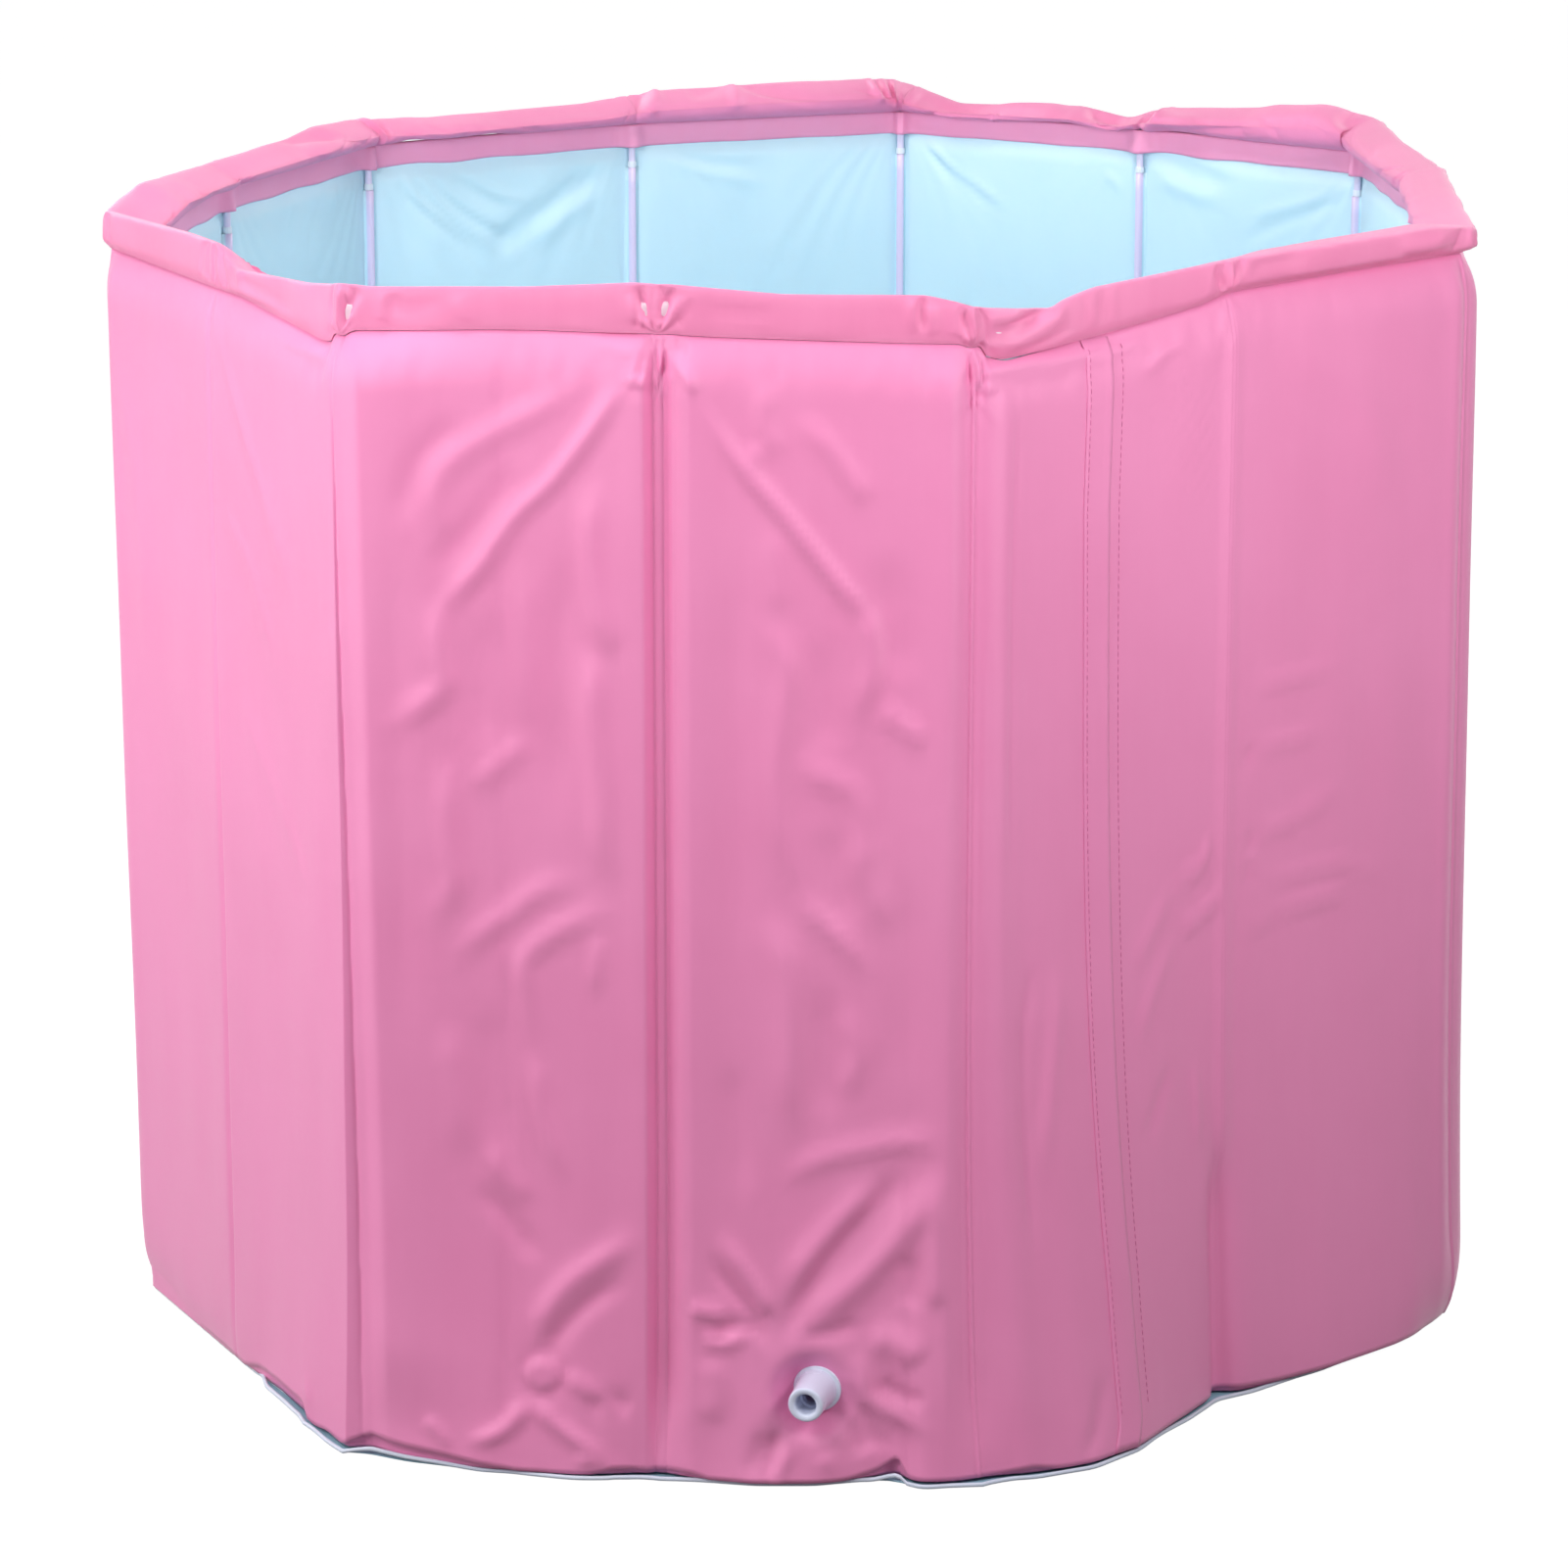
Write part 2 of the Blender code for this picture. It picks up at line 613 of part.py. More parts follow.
def build_stopper(finish, frame):
    """Tapered plug in the inner end of the bore, with a head and a flat grip to pull it out by."""
    seat = -(LINER_INNER + 3 * FIT_GAP + NUT_THICKNESS)
    root = SPOUT_BORE_RADIUS - STOPPER_CLEARANCE
    tip = root - STOPPER_TAPER
    back = seat - STOPPER_HEAD_THICKNESS
    profile = [(0, seat + STOPPER_LENGTH), (tip, seat + STOPPER_LENGTH), (root, seat)]
    profile += [(STOPPER_HEAD_RADIUS, seat), (STOPPER_HEAD_RADIUS, back), (0, back)]
    stopper = turned("drain_stopper", profile, TURNED_STEPS, finish, frame)
    half_width, half_thickness = STOPPER_GRIP_WIDTH / 2, STOPPER_GRIP_THICKNESS / 2
    across = [(-half_width, -half_thickness), (half_width, -half_thickness)]
    across += [(half_width, half_thickness), (-half_width, half_thickness)]
    grip_end, grip_root = back - STOPPER_GRIP_LENGTH, back + STOPPER_HEAD_THICKNESS / 2
    grip = guide(prism("stopper_grip", [Vector(p) for p in across], grip_end, grip_root, None, frame))
    combine(stopper, grip, "UNION")


def build_stud(finish, board):
    """Round stud let into a pocket in one board's outer face."""
    place = panel_length(STUD_PANEL_INDEX) * STUD_ALONG_SHARE
    frame = outward_frame("stud_axis", STUD_PANEL_INDEX, place, BOARD_OUTER, STUD_HEIGHT)
    profile = [(0, 0), (STUD_RADIUS, 0), (STUD_RADIUS, -STUD_THICKNESS), (0, -STUD_THICKNESS)]
    turned("wall_stud", profile, TURNED_STEPS, finish, frame)
    pocket = cutter("stud_pocket", STUD_RADIUS + FIT_GAP, -STUD_THICKNESS - FIT_GAP, CUT_OVERRUN, frame)
    combine(board, pocket, "DIFFERENCE")


def build_valve(finish, cover):
    """Filling valve on the outer side of the rim: flanged neck, and a plug on a strap hinged above it."""
    place = panel_length(VALVE_PANEL_INDEX) / 2
    rim_middle = SEAM_HEIGHT + RIM_HEIGHT * RIM_MIDDLE_HEIGHT_SHARE / 2
    frame = outward_frame("valve_axis", VALVE_PANEL_INDEX, place, RIM_DEPTH - RIM_WIDTH / 2, rim_middle)
    root = FIT_GAP
    face = root + VALVE_FLANGE_THICKNESS
    end = face + VALVE_NECK_LENGTH
    back = -RIM_COVER_THICKNESS
    profile = [
        (VALVE_BORE_RADIUS, end),
        (VALVE_NECK_RADIUS, end),
        (VALVE_NECK_RADIUS, face),
        (VALVE_FLANGE_RADIUS, face),
        (VALVE_FLANGE_RADIUS, root),
        (VALVE_NECK_RADIUS, root),
        (VALVE_NECK_RADIUS, back),
        (VALVE_BORE_RADIUS, back),
    ]
    turned("valve_body", profile, TURNED_STEPS, finish, frame)
    hole_end = -RIM_COVER_THICKNESS - CUT_OVERRUN
    hole = cutter("valve_hole", VALVE_NECK_RADIUS + FIT_GAP, hole_end, CUT_OVERRUN, frame)
    combine(cover, hole, "DIFFERENCE")
    build_valve_plug(finish, frame, end)


def build_valve_plug(finish, frame, neck_end):
    """Cap with a tapered pin in the valve's bore; its strap runs up to the hinge line over the neck."""
    hinge_up = VALVE_CAP_RADIUS + VALVE_STRAP_THICKNESS
    hinge = bpy.data.objects.new("valve_hinge", None)
    bpy.context.collection.objects.link(hinge)
    hinge.parent = frame
    hinge.location = (0, hinge_up, neck_end)
    seat = FIT_GAP
    back = seat + VALVE_CAP_THICKNESS
    profile = [(0, seat - VALVE_PIN_LENGTH), (VALVE_PIN_TIP_RADIUS, seat - VALVE_PIN_LENGTH)]
    profile += [(VALVE_PIN_RADIUS, seat), (VALVE_CAP_RADIUS, seat), (VALVE_CAP_RADIUS, back), (0, back)]
    plug = turned("valve_plug", profile, TURNED_STEPS, finish, hinge)
    plug.data.transform(Matrix.Translation((0, -hinge_up, 0)))
    half, thickness = VALVE_STRAP_WIDTH / 2, VALVE_STRAP_THICKNESS / 2
    middle = (seat + back) / 2
    plan = [(-half, -hinge_up / 2), (half, -hinge_up / 2), (half, 0), (-half, 0)]
    points = [Vector(place) for place in plan]
    strap = guide(prism("valve_strap", points, middle - thickness, middle + thickness, None, hinge))
    combine(plug, strap, "UNION")


def clear_scene():
    for obj in list(bpy.data.objects):
        bpy.data.objects.remove(obj, do_unlink=True)


def report():
    """Prints the joint axes and the mounts in world metres."""
    bpy.context.view_layer.update()
    drain, hinge = bpy.data.objects["drain_axis"], bpy.data.objects["valve_hinge"]
    print("drain axis at", [round(v, 6) for v in drain.matrix_world.translation])
    print("drain outward", [round(v, 6) for v in drain.matrix_world.col[2][:3]])
    print("valve hinge at", [round(v, 6) for v in hinge.matrix_world.translation])
    print("valve hinge axis", [round(-v, 6) for v in hinge.matrix_world.col[0][:3]])


def main():
    clear_scene()
    skin_finish = material("skin_coated_fabric", (232, 138, 182), 0.42)
    liner_finish = material("liner_coated_fabric", (188, 228, 243), 0.40)
    foam_finish = material("white_foam", (238, 238, 240), 0.85)
    film_finish = material("sleeve_film", (222, 206, 240), 0.35)
    pole_finish = material("white_plastic", (235, 235, 245), 0.38)
    spout_finish = material("spout_plastic", (222, 224, 244), 0.32)
    rubber_finish = material("grey_rubber", (120, 130, 145), 0.65)
    tube_finish = material("air_tube_film", (244, 214, 228), 0.30)
    piping_finish = material("piping_fabric", (226, 232, 246), 0.55)
    skin = build_skin(skin_finish)
    boards = build_boards(foam_finish)
    liner = build_liner(liner_finish)
    build_sleeves(film_finish)
    build_poles(pole_finish)
    build_band(skin_finish)
    cover = build_rim(skin_finish, tube_finish)
    build_base(liner_finish, foam_finish, piping_finish)
    build_lap(skin_finish)
    build_drain(spout_finish, rubber_finish, skin, boards[DRAIN_PANEL_INDEX], liner)
    build_stud(pole_finish, boards[STUD_PANEL_INDEX])
    build_valve(tube_finish, cover)
    report()


CORNERS = plan_corners()
CORNERS = centred_corners()
main()
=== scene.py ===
# %% [markdown]
# A portable soft-walled bathtub is mostly cloth: a coated skin outside, a waterproof liner inside
# and a fabric tube of air round the top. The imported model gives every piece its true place, and
# this lesson works out the fine cloth surfaces round it with numpy. Each surface is a function of
# two parameters: how far round the ring, and how far up, over or under the cloth.

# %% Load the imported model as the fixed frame
import math

import bpy
import numpy as np
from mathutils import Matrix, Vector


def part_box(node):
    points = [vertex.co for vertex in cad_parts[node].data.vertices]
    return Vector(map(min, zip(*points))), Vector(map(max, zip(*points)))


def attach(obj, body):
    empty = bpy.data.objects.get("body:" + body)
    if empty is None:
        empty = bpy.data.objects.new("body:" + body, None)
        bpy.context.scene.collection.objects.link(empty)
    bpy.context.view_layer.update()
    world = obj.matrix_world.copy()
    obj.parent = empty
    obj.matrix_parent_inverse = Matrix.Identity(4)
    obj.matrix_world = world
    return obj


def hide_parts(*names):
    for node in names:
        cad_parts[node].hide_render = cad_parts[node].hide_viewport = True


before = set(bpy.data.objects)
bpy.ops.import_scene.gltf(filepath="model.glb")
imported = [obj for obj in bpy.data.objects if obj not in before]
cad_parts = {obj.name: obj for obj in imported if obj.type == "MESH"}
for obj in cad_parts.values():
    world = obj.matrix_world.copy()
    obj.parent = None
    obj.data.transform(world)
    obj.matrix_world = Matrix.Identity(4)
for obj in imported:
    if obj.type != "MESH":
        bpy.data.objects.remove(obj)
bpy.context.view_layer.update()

MM = 0.001
print("The packed model has", len(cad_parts), "nodes")

# %% [markdown]
# The camera comes first, because the wrinkles are drawn where the photograph shows them: a place
# in the picture becomes a ray, and the ray meets the upright plane of one wall panel. A long lens
# far away keeps the tub's upright lines almost parallel.

# %% The camera that took the photograph
FRAME_PIXELS = 1601
FOCAL_PIXELS = 6072.1
SENSOR_MM = 36.0
CAMERA_PLACE = np.array([-0.0031, -3.3977, 1.2213])
CAMERA_PITCH = math.radians(15.35)
CAMERA_RIGHT = np.array([1.0, 0.0, 0.0])
CAMERA_UP = np.array([0.0, math.sin(CAMERA_PITCH), math.cos(CAMERA_PITCH)])
CAMERA_AHEAD = np.array([0.0, math.cos(CAMERA_PITCH), -math.sin(CAMERA_PITCH)])


def build_camera():
    """A camera pitched down from the horizon; its lens has the photograph's focal length in pixels."""
    data = bpy.data.cameras.new("photo_camera")
    data.sensor_width = SENSOR_MM
    data.lens = SENSOR_MM * FOCAL_PIXELS / FRAME_PIXELS
    camera = bpy.data.objects.new("photo_camera", data)
    camera.location = CAMERA_PLACE
    camera.rotation_euler = (math.pi / 2 - CAMERA_PITCH, 0, 0)
    bpy.context.scene.collection.objects.link(camera)
    bpy.context.scene.camera = camera
    return camera


print("Lens", round(build_camera().data.lens, 1), "mm")


# %% From a pixel to a ray
def rays(pixels):
    """Direction through each pixel: ahead, plus its offset from the middle in focal lengths."""
    offset = (np.asarray(pixels, float) - FRAME_PIXELS / 2) / FOCAL_PIXELS
    return CAMERA_AHEAD + offset[:, :1] * CAMERA_RIGHT - offset[:, 1:] * CAMERA_UP


# %% [markdown]
# The wall is a ring of fourteen flat panels. Its corners are found from the poles, which stand a
# known depth inside the outer face, so the cloth can't drift away from what carries it. A place in
# the wall is then a panel, a distance along it, a depth below its outer face and a height. Depth
# is measured along the panel's own normal, and leans over to the corner's mitre near the corner,
# which closes the ring without a gap.

# %% Corners and panels of the ring, found from the frame
PANELS = 14
BOARD_FACE_DEPTH = 1.3 * MM
DRAIN_PANEL = 3
STUD_PANEL = 2
LAP_PANEL = 4


def middle_of(node):
    low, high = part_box(node)
    return np.array((low + high) / 2)


def unit(vectors):
    return vectors / np.linalg.norm(vectors, axis=-1, keepdims=True)


POLES = np.array([middle_of(f"pole_{n:02d}")[:2] for n in range(1, PANELS + 1)])
ALONG = unit(np.roll(POLES, -1, axis=0) - POLES)
INWARD = np.stack([-ALONG[:, 1], ALONG[:, 0]], axis=1)
BEFORE = np.roll(INWARD, 1, axis=0)
MITRE = (BEFORE + INWARD) / (1 + (BEFORE * INWARD).sum(axis=1, keepdims=True))
FRONT_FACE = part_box("foam_board_04")[0].y - BOARD_FACE_DEPTH
POLE_DEPTH = POLES[DRAIN_PANEL, 1] - FRONT_FACE
CORNERS = POLES - MITRE * POLE_DEPTH
LENGTHS = np.linalg.norm(np.roll(CORNERS, -1, axis=0) - CORNERS, axis=1)
STARTS = np.concatenate([[0.0], np.cumsum(LENGTHS)[:-1]])
RING = float(LENGTHS.sum())
START_LEAN = ((MITRE - INWARD) * ALONG).sum(axis=1)
END_LEAN = ((np.roll(MITRE, -1, axis=0) - INWARD) * ALONG).sum(axis=1)
print(f"The wall is {RING:.3f} m round and its poles stand {POLE_DEPTH / MM:.1f} mm inside its face")

# %% A place in the wall
CORNER_EASE = 14 * MM


def ease(share):
    """Smooth step: flat at 0 and at 1."""
    share = np.clip(share, 0, 1)
    return share * share * (3 - 2 * share)


def place(panel, along, depth, height):
    """Corner + distance along the panel + depth × a vector that leans from the normal to the mitre."""
    panel, along, depth, height = np.broadcast_arrays(panel, along, depth, height)
    lean = START_LEAN[panel] * ease(1 - along / CORNER_EASE)
    lean = lean + END_LEAN[panel] * ease(1 - (LENGTHS[panel] - along) / CORNER_EASE)
    inward = INWARD[panel] + ALONG[panel] * lean[..., None]
    plan = CORNERS[panel] + ALONG[panel] * along[..., None] + inward * depth[..., None]
    return np.concatenate([plan, height[..., None]], axis=-1)


def on_panel(pixels, panel, depth=0.0):
    """Where each pixel's ray meets a panel's upright plane: distance along it, and height."""
    ray = rays(pixels)
    start = CORNERS[panel] + INWARD[panel] * depth
    reach = ((start - CAMERA_PLACE[:2]) @ INWARD[panel]) / (ray[:, :2] @ INWARD[panel])
    found = CAMERA_PLACE + ray * reach[:, None]
    return np.stack([(found[:, :2] - start) @ ALONG[panel], found[:, 2]], axis=1)


# %% Columns round the ring, and levels that change along it
def columns(counts, crowding):
    """Panel and distance of each column: even steps drawn towards the corners by a sine."""
    panels, distances = [], []
    for panel, count in enumerate(counts):
        share = np.arange(count) / count
        share = share - crowding * np.sin(math.tau * share) / math.tau
        panels.append(np.full(count, panel))
        distances.append(share * LENGTHS[panel])
    return np.concatenate(panels), np.concatenate(distances)


def level_round(knots, panel, along, softness):
    """A value that runs from knot to knot round the ring, averaged over a short window."""
    knots = sorted((STARTS[p] + a, value) for p, a, value in knots)
    where = np.array([station for station, _ in knots])
    value = np.array([value for _, value in knots])
    station = STARTS[panel] + along
    reach = np.linspace(-1, 1, 9)
    weight = 1 - np.abs(reach) * 0.9
    total = sum(
        w * np.interp(station + r * softness, where, value, period=RING)
        for r, w in zip(reach, weight)
    )
    return total / weight.sum()


# %% [markdown]
# Every surface is a grid of points joined by quads. Columns run anticlockwise round the tub and
# rows climb its outer side, so the faces point outwards. The grid's own lengths go into a UV map
# called thread, in metres, and the weave of each cloth follows that map.

# %% A grid of points becomes a mesh
def surface(name, points, threads, around=True, closed=True, capped=False):
    """Quads between neighbouring rows and columns; the last may join the first, and ends may be capped."""
    rows, count = points.shape[:2]
    number = np.arange(rows * count).reshape(rows, count)
    grid_rows = np.concatenate([number, number[:1]]) if closed else number
    grid = np.concatenate([grid_rows, grid_rows[:, :1]], axis=1) if around else grid_rows
    uv_rows, uv_columns = threads
    uv = np.stack(np.meshgrid(uv_columns[: grid.shape[1]], uv_rows[: grid.shape[0]]), axis=-1)
    corner = [(slice(None, -1), slice(None, -1)), (slice(None, -1), slice(1, None))]
    corner += [(slice(1, None), slice(1, None)), (slice(1, None), slice(None, -1))]
    loops = np.stack([grid[c] for c in corner], axis=-1).reshape(-1)
    loop_uv = np.stack([uv[c] for c in corner], axis=2).reshape(-1, 2)
    starts = np.arange(0, len(loops), 4)
    if capped:
        caps = np.concatenate([number[0][::-1], number[-1]])
        starts = np.concatenate([starts, len(loops) + np.array([0, count])])
        loops = np.concatenate([loops, caps])
        loop_uv = np.concatenate([loop_uv, np.zeros((2 * count, 2))])
    return mesh_object(name, points.reshape(-1, 3), loops, starts, loop_uv)


def mesh_object(name, points, loops, starts, loop_uv):
    mesh = bpy.data.meshes.new(name)
    mesh.vertices.add(len(points))
    mesh.vertices.foreach_set("co", np.ascontiguousarray(points, np.float32).ravel())
    mesh.loops.add(len(loops))
    mesh.loops.foreach_set("vertex_index", loops.astype(np.int32))
    mesh.polygons.add(len(starts))
    mesh.polygons.foreach_set("loop_start", starts.astype(np.int32))
    mesh.update(calc_edges=True)
    mesh.uv_layers.new(name="thread").data.foreach_set("uv", loop_uv.astype(np.float32).ravel())
    mesh.validate()
    mesh.shade_smooth()
    obj = bpy.data.objects.new(name, mesh)
    bpy.context.scene.collection.objects.link(obj)
    return obj


# %% Giving a finished piece its body and material
def settle(piece, finish, slot, *nodes, body="tub"):
    """Dresses a piece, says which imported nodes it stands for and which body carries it."""
    piece.data.materials.append(finish)
    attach(piece, body)
    if nodes:
        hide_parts(*nodes)
    print(piece.name, "has", sum(len(p.vertices) - 2 for p in piece.data.polygons), "triangles")
    return piece


# %% [markdown]
# Cloth is never plain. Three kinds of relief are added to a panel: strokes, which are single
# wrinkles drawn as smooth lines at the photograph's pixels; puckers, which are folds that gather
# at one point; and slow waves that break up what is left. All are sums of bell curves and
# cosines, so they can be worked out for the whole grid at once.

# %% Strokes: single wrinkles along a line
LINE_STEPS = 18


def smooth_line(points):
    """A curve through the points, each stretch a cubic that takes its slopes from the neighbours."""
    points = np.asarray(points, float)
    padded = np.concatenate([[2 * points[0] - points[1]], points, [2 * points[-1] - points[-2]]])
    where = np.linspace(0, len(points) - 1, LINE_STEPS)
    index = np.minimum(where.astype(int), len(points) - 2)
    t = (where - index)[:, None]
    a, b, c, d = (padded[index + k] for k in range(4))
    return 0.5 * (2 * b + (c - a) * t + (2 * a - 5 * b + 4 * c - d) * t**2 + (3 * (b - c) + d - a) * t**3)


def stroke(points, line, height, width, fade=0.3):
    """Height × a bell of the distance from the line, fading towards both of the line's ends."""
    low, high = line.min(axis=0) - 3 * width, line.max(axis=0) + 3 * width
    near = ((points > low) & (points < high)).all(axis=1)
    if not near.any():
        return np.zeros(len(points))
    start, leg = line[:-1], np.diff(line, axis=0)
    offset = points[near][:, None] - start
    share = np.clip((offset * leg).sum(-1) / (leg**2).sum(-1), 0, 1)
    apart = ((offset - share[..., None] * leg) ** 2).sum(-1)
    best = apart.argmin(axis=1)
    pick = np.arange(len(best))
    travel = (best + share[pick, best]) / len(leg)
    bell = np.exp(-apart[pick, best] / width**2)
    relief = np.zeros(len(points))
    relief[near] = height * bell * ease(travel / fade) * ease((1 - travel) / fade)
    return relief


def strokes_on(panel_of, along, height, table, depth=0.0):
    """Sum of a table of strokes: panel, height and width in mm, then the pixels that the line passes."""
    relief = np.zeros(along.shape)
    for panel in sorted({row[0] for row in table}):
        chosen = panel_of == panel
        points = np.stack([along[chosen], height[chosen]], axis=1)
        total = np.zeros(len(points))
        for _, rise, width, pixels in (row for row in table if row[0] == panel):
            line = smooth_line(on_panel(pixels, panel, depth))
            total += stroke(points, line, rise * MM, width * MM)
        relief[chosen] += total
    return relief


# %% Puckers and slow waves
def bell(offset, width):
    return np.exp(-((offset / width) ** 2))


def pucker(across, up, count, reach, turn):
    """Cosine of a multiple of the angle round a point, fading with the distance from it."""
    distance = np.hypot(across, up)
    angle = np.arctan2(up, across)
    folds = np.cos(count * angle + turn) + 0.5 * np.cos((count + 4) * angle - 2 * turn)
    return folds * np.exp(-distance / reach) * ease(distance / (0.35 * reach))


def waves(station, height, seed, count, rise_length, ring_length):
    """Sum of cosines that close up round the ring, each with its own slant and start."""
    random = np.random.default_rng(seed)
    total = np.zeros(np.broadcast(station, height).shape)
    for _ in range(count):
        turns = round(RING / ring_length * random.uniform(0.6, 1.6))
        climb = math.tau / rise_length * random.uniform(-1.4, 1.4)
        total += np.cos(math.tau * turns * station / RING + climb * height + random.uniform(0, math.tau))
    return total / math.sqrt(count)


# %% [markdown]
# The rim sags and rises from corner to corner, as a soft tube does. Its crest is read from the
# photograph: the near rim's upper edge and the far rim's skyline are pixels, and each becomes a
# height where its ray meets the plane that the crest lies in. The seam under the rim is found in
# the same way.

# %% Heights of the rim's crest and of its seam
SEAM_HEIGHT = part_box("rim_cover")[0].z
TUB_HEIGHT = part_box("rim_cover")[1].z
NEAR_CREST_DEPTH = 7 * MM
FAR_CREST_DEPTH = 6 * MM
NEAR_CREST_PIXELS = {
    0: ((104, 203), (199, 235)),
    1: ((219, 243), (240, 264), (252, 274), (316, 287)),
    2: ((335, 287), (378, 291), (541, 291), (648, 287)),
    3: ((684, 289), (800, 299), (946, 300), (990, 310)),
    4: ((1001, 313), (1071, 313), (1090, 302), (1117, 291)),
    5: ((1250, 263), (1456, 227)),
}
FAR_CREST_PIXELS = {
    7: ((1424, 144),),
    8: ((1408, 121), (1364, 108), (1183, 110)),
    9: ((1150, 121), (1101, 108), (976, 106)),
    10: ((912, 79), (780, 84), (673, 92)),
    11: ((641, 97), (602, 105), (439, 120)),
    12: ((360, 122), (326, 128), (301, 140)),
    13: ((232, 160), (158, 186)),
}
SEAM_PIXELS = {
    1: ((240, 303), (285, 328), (321, 349)),
    2: ((331, 349), (352, 339), (500, 338), (655, 340)),
    3: ((700, 345), (850, 350), (985, 354)),
    4: ((1030, 370), (1070, 360), (1150, 338), (1235, 312)),
    5: ((1260, 300), (1400, 272)),
}
LEAST_SEAM = 622.8 * MM


def height_knots(pixels, depth):
    """Panel, distance along it and height of every listed pixel."""
    knots = []
    for panel, listed in pixels.items():
        found = on_panel(listed, panel, depth)
        knots += [(panel, float(np.clip(a, 0, LENGTHS[panel])), float(z)) for a, z in found]
    return knots


CREST_KNOTS = height_knots(NEAR_CREST_PIXELS, NEAR_CREST_DEPTH)
CREST_KNOTS += height_knots(FAR_CREST_PIXELS, FAR_CREST_DEPTH)
SIDE_CREST_DROPS_MM = ((0.0, 4), (0.5, 1), (0.95, 0))
CREST_KNOTS += [(6, LENGTHS[6] * share, TUB_HEIGHT - drop * MM) for share, drop in SIDE_CREST_DROPS_MM]
SEAM_KNOTS = height_knots(SEAM_PIXELS, 0.0)
SEAM_KNOTS += [(0, 0.0, LEAST_SEAM), (6, 0.0, SEAM_HEIGHT), (13, LENGTHS[13] * 0.6, SEAM_HEIGHT)]


def crest_at(panel, along):
    return level_round(CREST_KNOTS, panel, along, 5 * MM)


def seam_at(panel, along):
    """The seam's height, kept above the tips of the poles at the corners."""
    level = level_round(SEAM_KNOTS, panel, along, 8 * MM)
    corner = np.minimum(along, LENGTHS[panel] - along)
    floor = LEAST_SEAM - 16 * MM * ease((corner - 5 * MM) / (18 * MM))
    return np.clip(level, floor, SEAM_HEIGHT)


for panel_number in range(PANELS):
    crest = crest_at(np.array([panel_number]), LENGTHS[panel_number] / 2)[0]
    corner_seam = seam_at(np.array([panel_number]), np.array([0.0]))[0]
    levels = f"crest at {crest / MM:.0f} mm, seam at its corner {corner_seam / MM:.1f} mm"
    print(f"Panel {panel_number + 1}: {levels}")

# %% [markdown]
# Where the seam lies in the wall's thickness also changes. Along the front the rim's face goes
# straight down to the seam, and the skin slopes out below it as a soft shoulder. To the right of
# the sixth corner the seam is drawn well in, which leaves a dark gap under the rim.

# %% Depth of the seam and of the rim's outer face
SEAM_DEPTH_KNOTS_MM = (
    *((0, 0.0, -1.5), (0, 0.5, 0.5), (1, 0.0, 3.0), (1, 0.5, 4.0), (2, 0.0, 6.5), (2, 0.2, 5.0)),
    *((2, 0.8, 5.5), (3, 0.0, 8.0), (3, 0.2, 5.5), (3, 0.8, 5.5), (4, 0.0, 9.0), (4, 0.25, 6.5)),
    *((4, 0.8, 5.0), (5, 0.0, 5.5), (5, 0.15, 5.5), (5, 0.5, 6.0)),
    *((5, 0.8, 5.0), (6, 0.0, 3.0), (6, 0.5, 3.0)),
    *((7, 0.0, 3.0), (7, 0.5, 5.0), (8, 0.5, 6.0), (9, 0.4, 6.0)),
    *((10, 0.6, 6.0), (11, 0.4, 6.0), (12, 0.5, 6.0)),
    *((13, 0.5, 3.0), (13, 0.9, -0.5)),
)
FACE_DEPTH_KNOTS_MM = (
    *((0, 0.0, -6.5), (0, 0.12, -5.5), (0, 0.5, -2.0), (1, 0.0, 1.0)),
    *((1, 0.5, 2.8), (2, 0.0, 4.6), (2, 0.5, 4.0)),
    *((3, 0.0, 5.2), (3, 0.5, 4.2), (4, 0.0, 5.5), (4, 0.2, 4.0)),
    *((4, 0.6, 2.5), (5, 0.0, 1.0), (5, 0.3, -1.5)),
    *((5, 0.9, -4.5), (6, 0.0, -6.5), (6, 0.3, -4.0), (7, 0.0, -2.5), (8, 0.5, -2.5), (10, 0.5, -3.0)),
    *((12, 0.5, -2.5), (13, 0.5, -3.5), (13, 0.9, -6.0)),
)


def knots_of(table, measure=MM):
    """Each row's share of its panel's length becomes a distance, and its value takes the measure."""
    return [(panel, LENGTHS[panel] * share, value * measure) for panel, share, value in table]


SEAM_DEPTH_KNOTS = knots_of(SEAM_DEPTH_KNOTS_MM)
FACE_DEPTH_KNOTS = knots_of(FACE_DEPTH_KNOTS_MM)


def seam_depth_at(panel, along):
    return level_round(SEAM_DEPTH_KNOTS, panel, along, 9 * MM)


def face_depth_at(panel, along):
    return level_round(FACE_DEPTH_KNOTS, panel, along, 9 * MM)


# %% Grooves at the corners, which can't sink into the boards behind them
GROOVE_DEPTH_MM = np.array([3.5, 0.9, 0.3, 6.4, 5.6, -1.6, 4.5, 5.0, 7.0, 6.0, 7.5, 5.5, 7.0, 5.0])
GROOVE_REACHES_MM = np.array(
    [[12, 12], [4, 4], [4, 4], [8, 17], [14, 17], [9, 9], [12, 12]] + [[12.5, 12.5]] * 7)
WELD_HALF_MM = np.array([2.5, 0.4, 0.4, 3.0, 1.6, 0.8, 2.0, 2.5, 2.5, 2.5, 2.5, 2.5, 2.5, 2.5])
BOARD_EDGES_MM = np.array(
    [[13, 13], [9, 9], [5, 17], [11, 17], [15, 19], [11, 10], [13, 13]] + [[14, 14]] * 7)
EDGE_RIDGES_MM = np.array(
    [[0.4, 0.4], [0.0, 0.0], [0.0, 8.2], [0.8, 2.2], [0.6, 1.6], [0.0, 0.0], [0.5, 0.5]] + [[0.8, 0.8]] * 7)
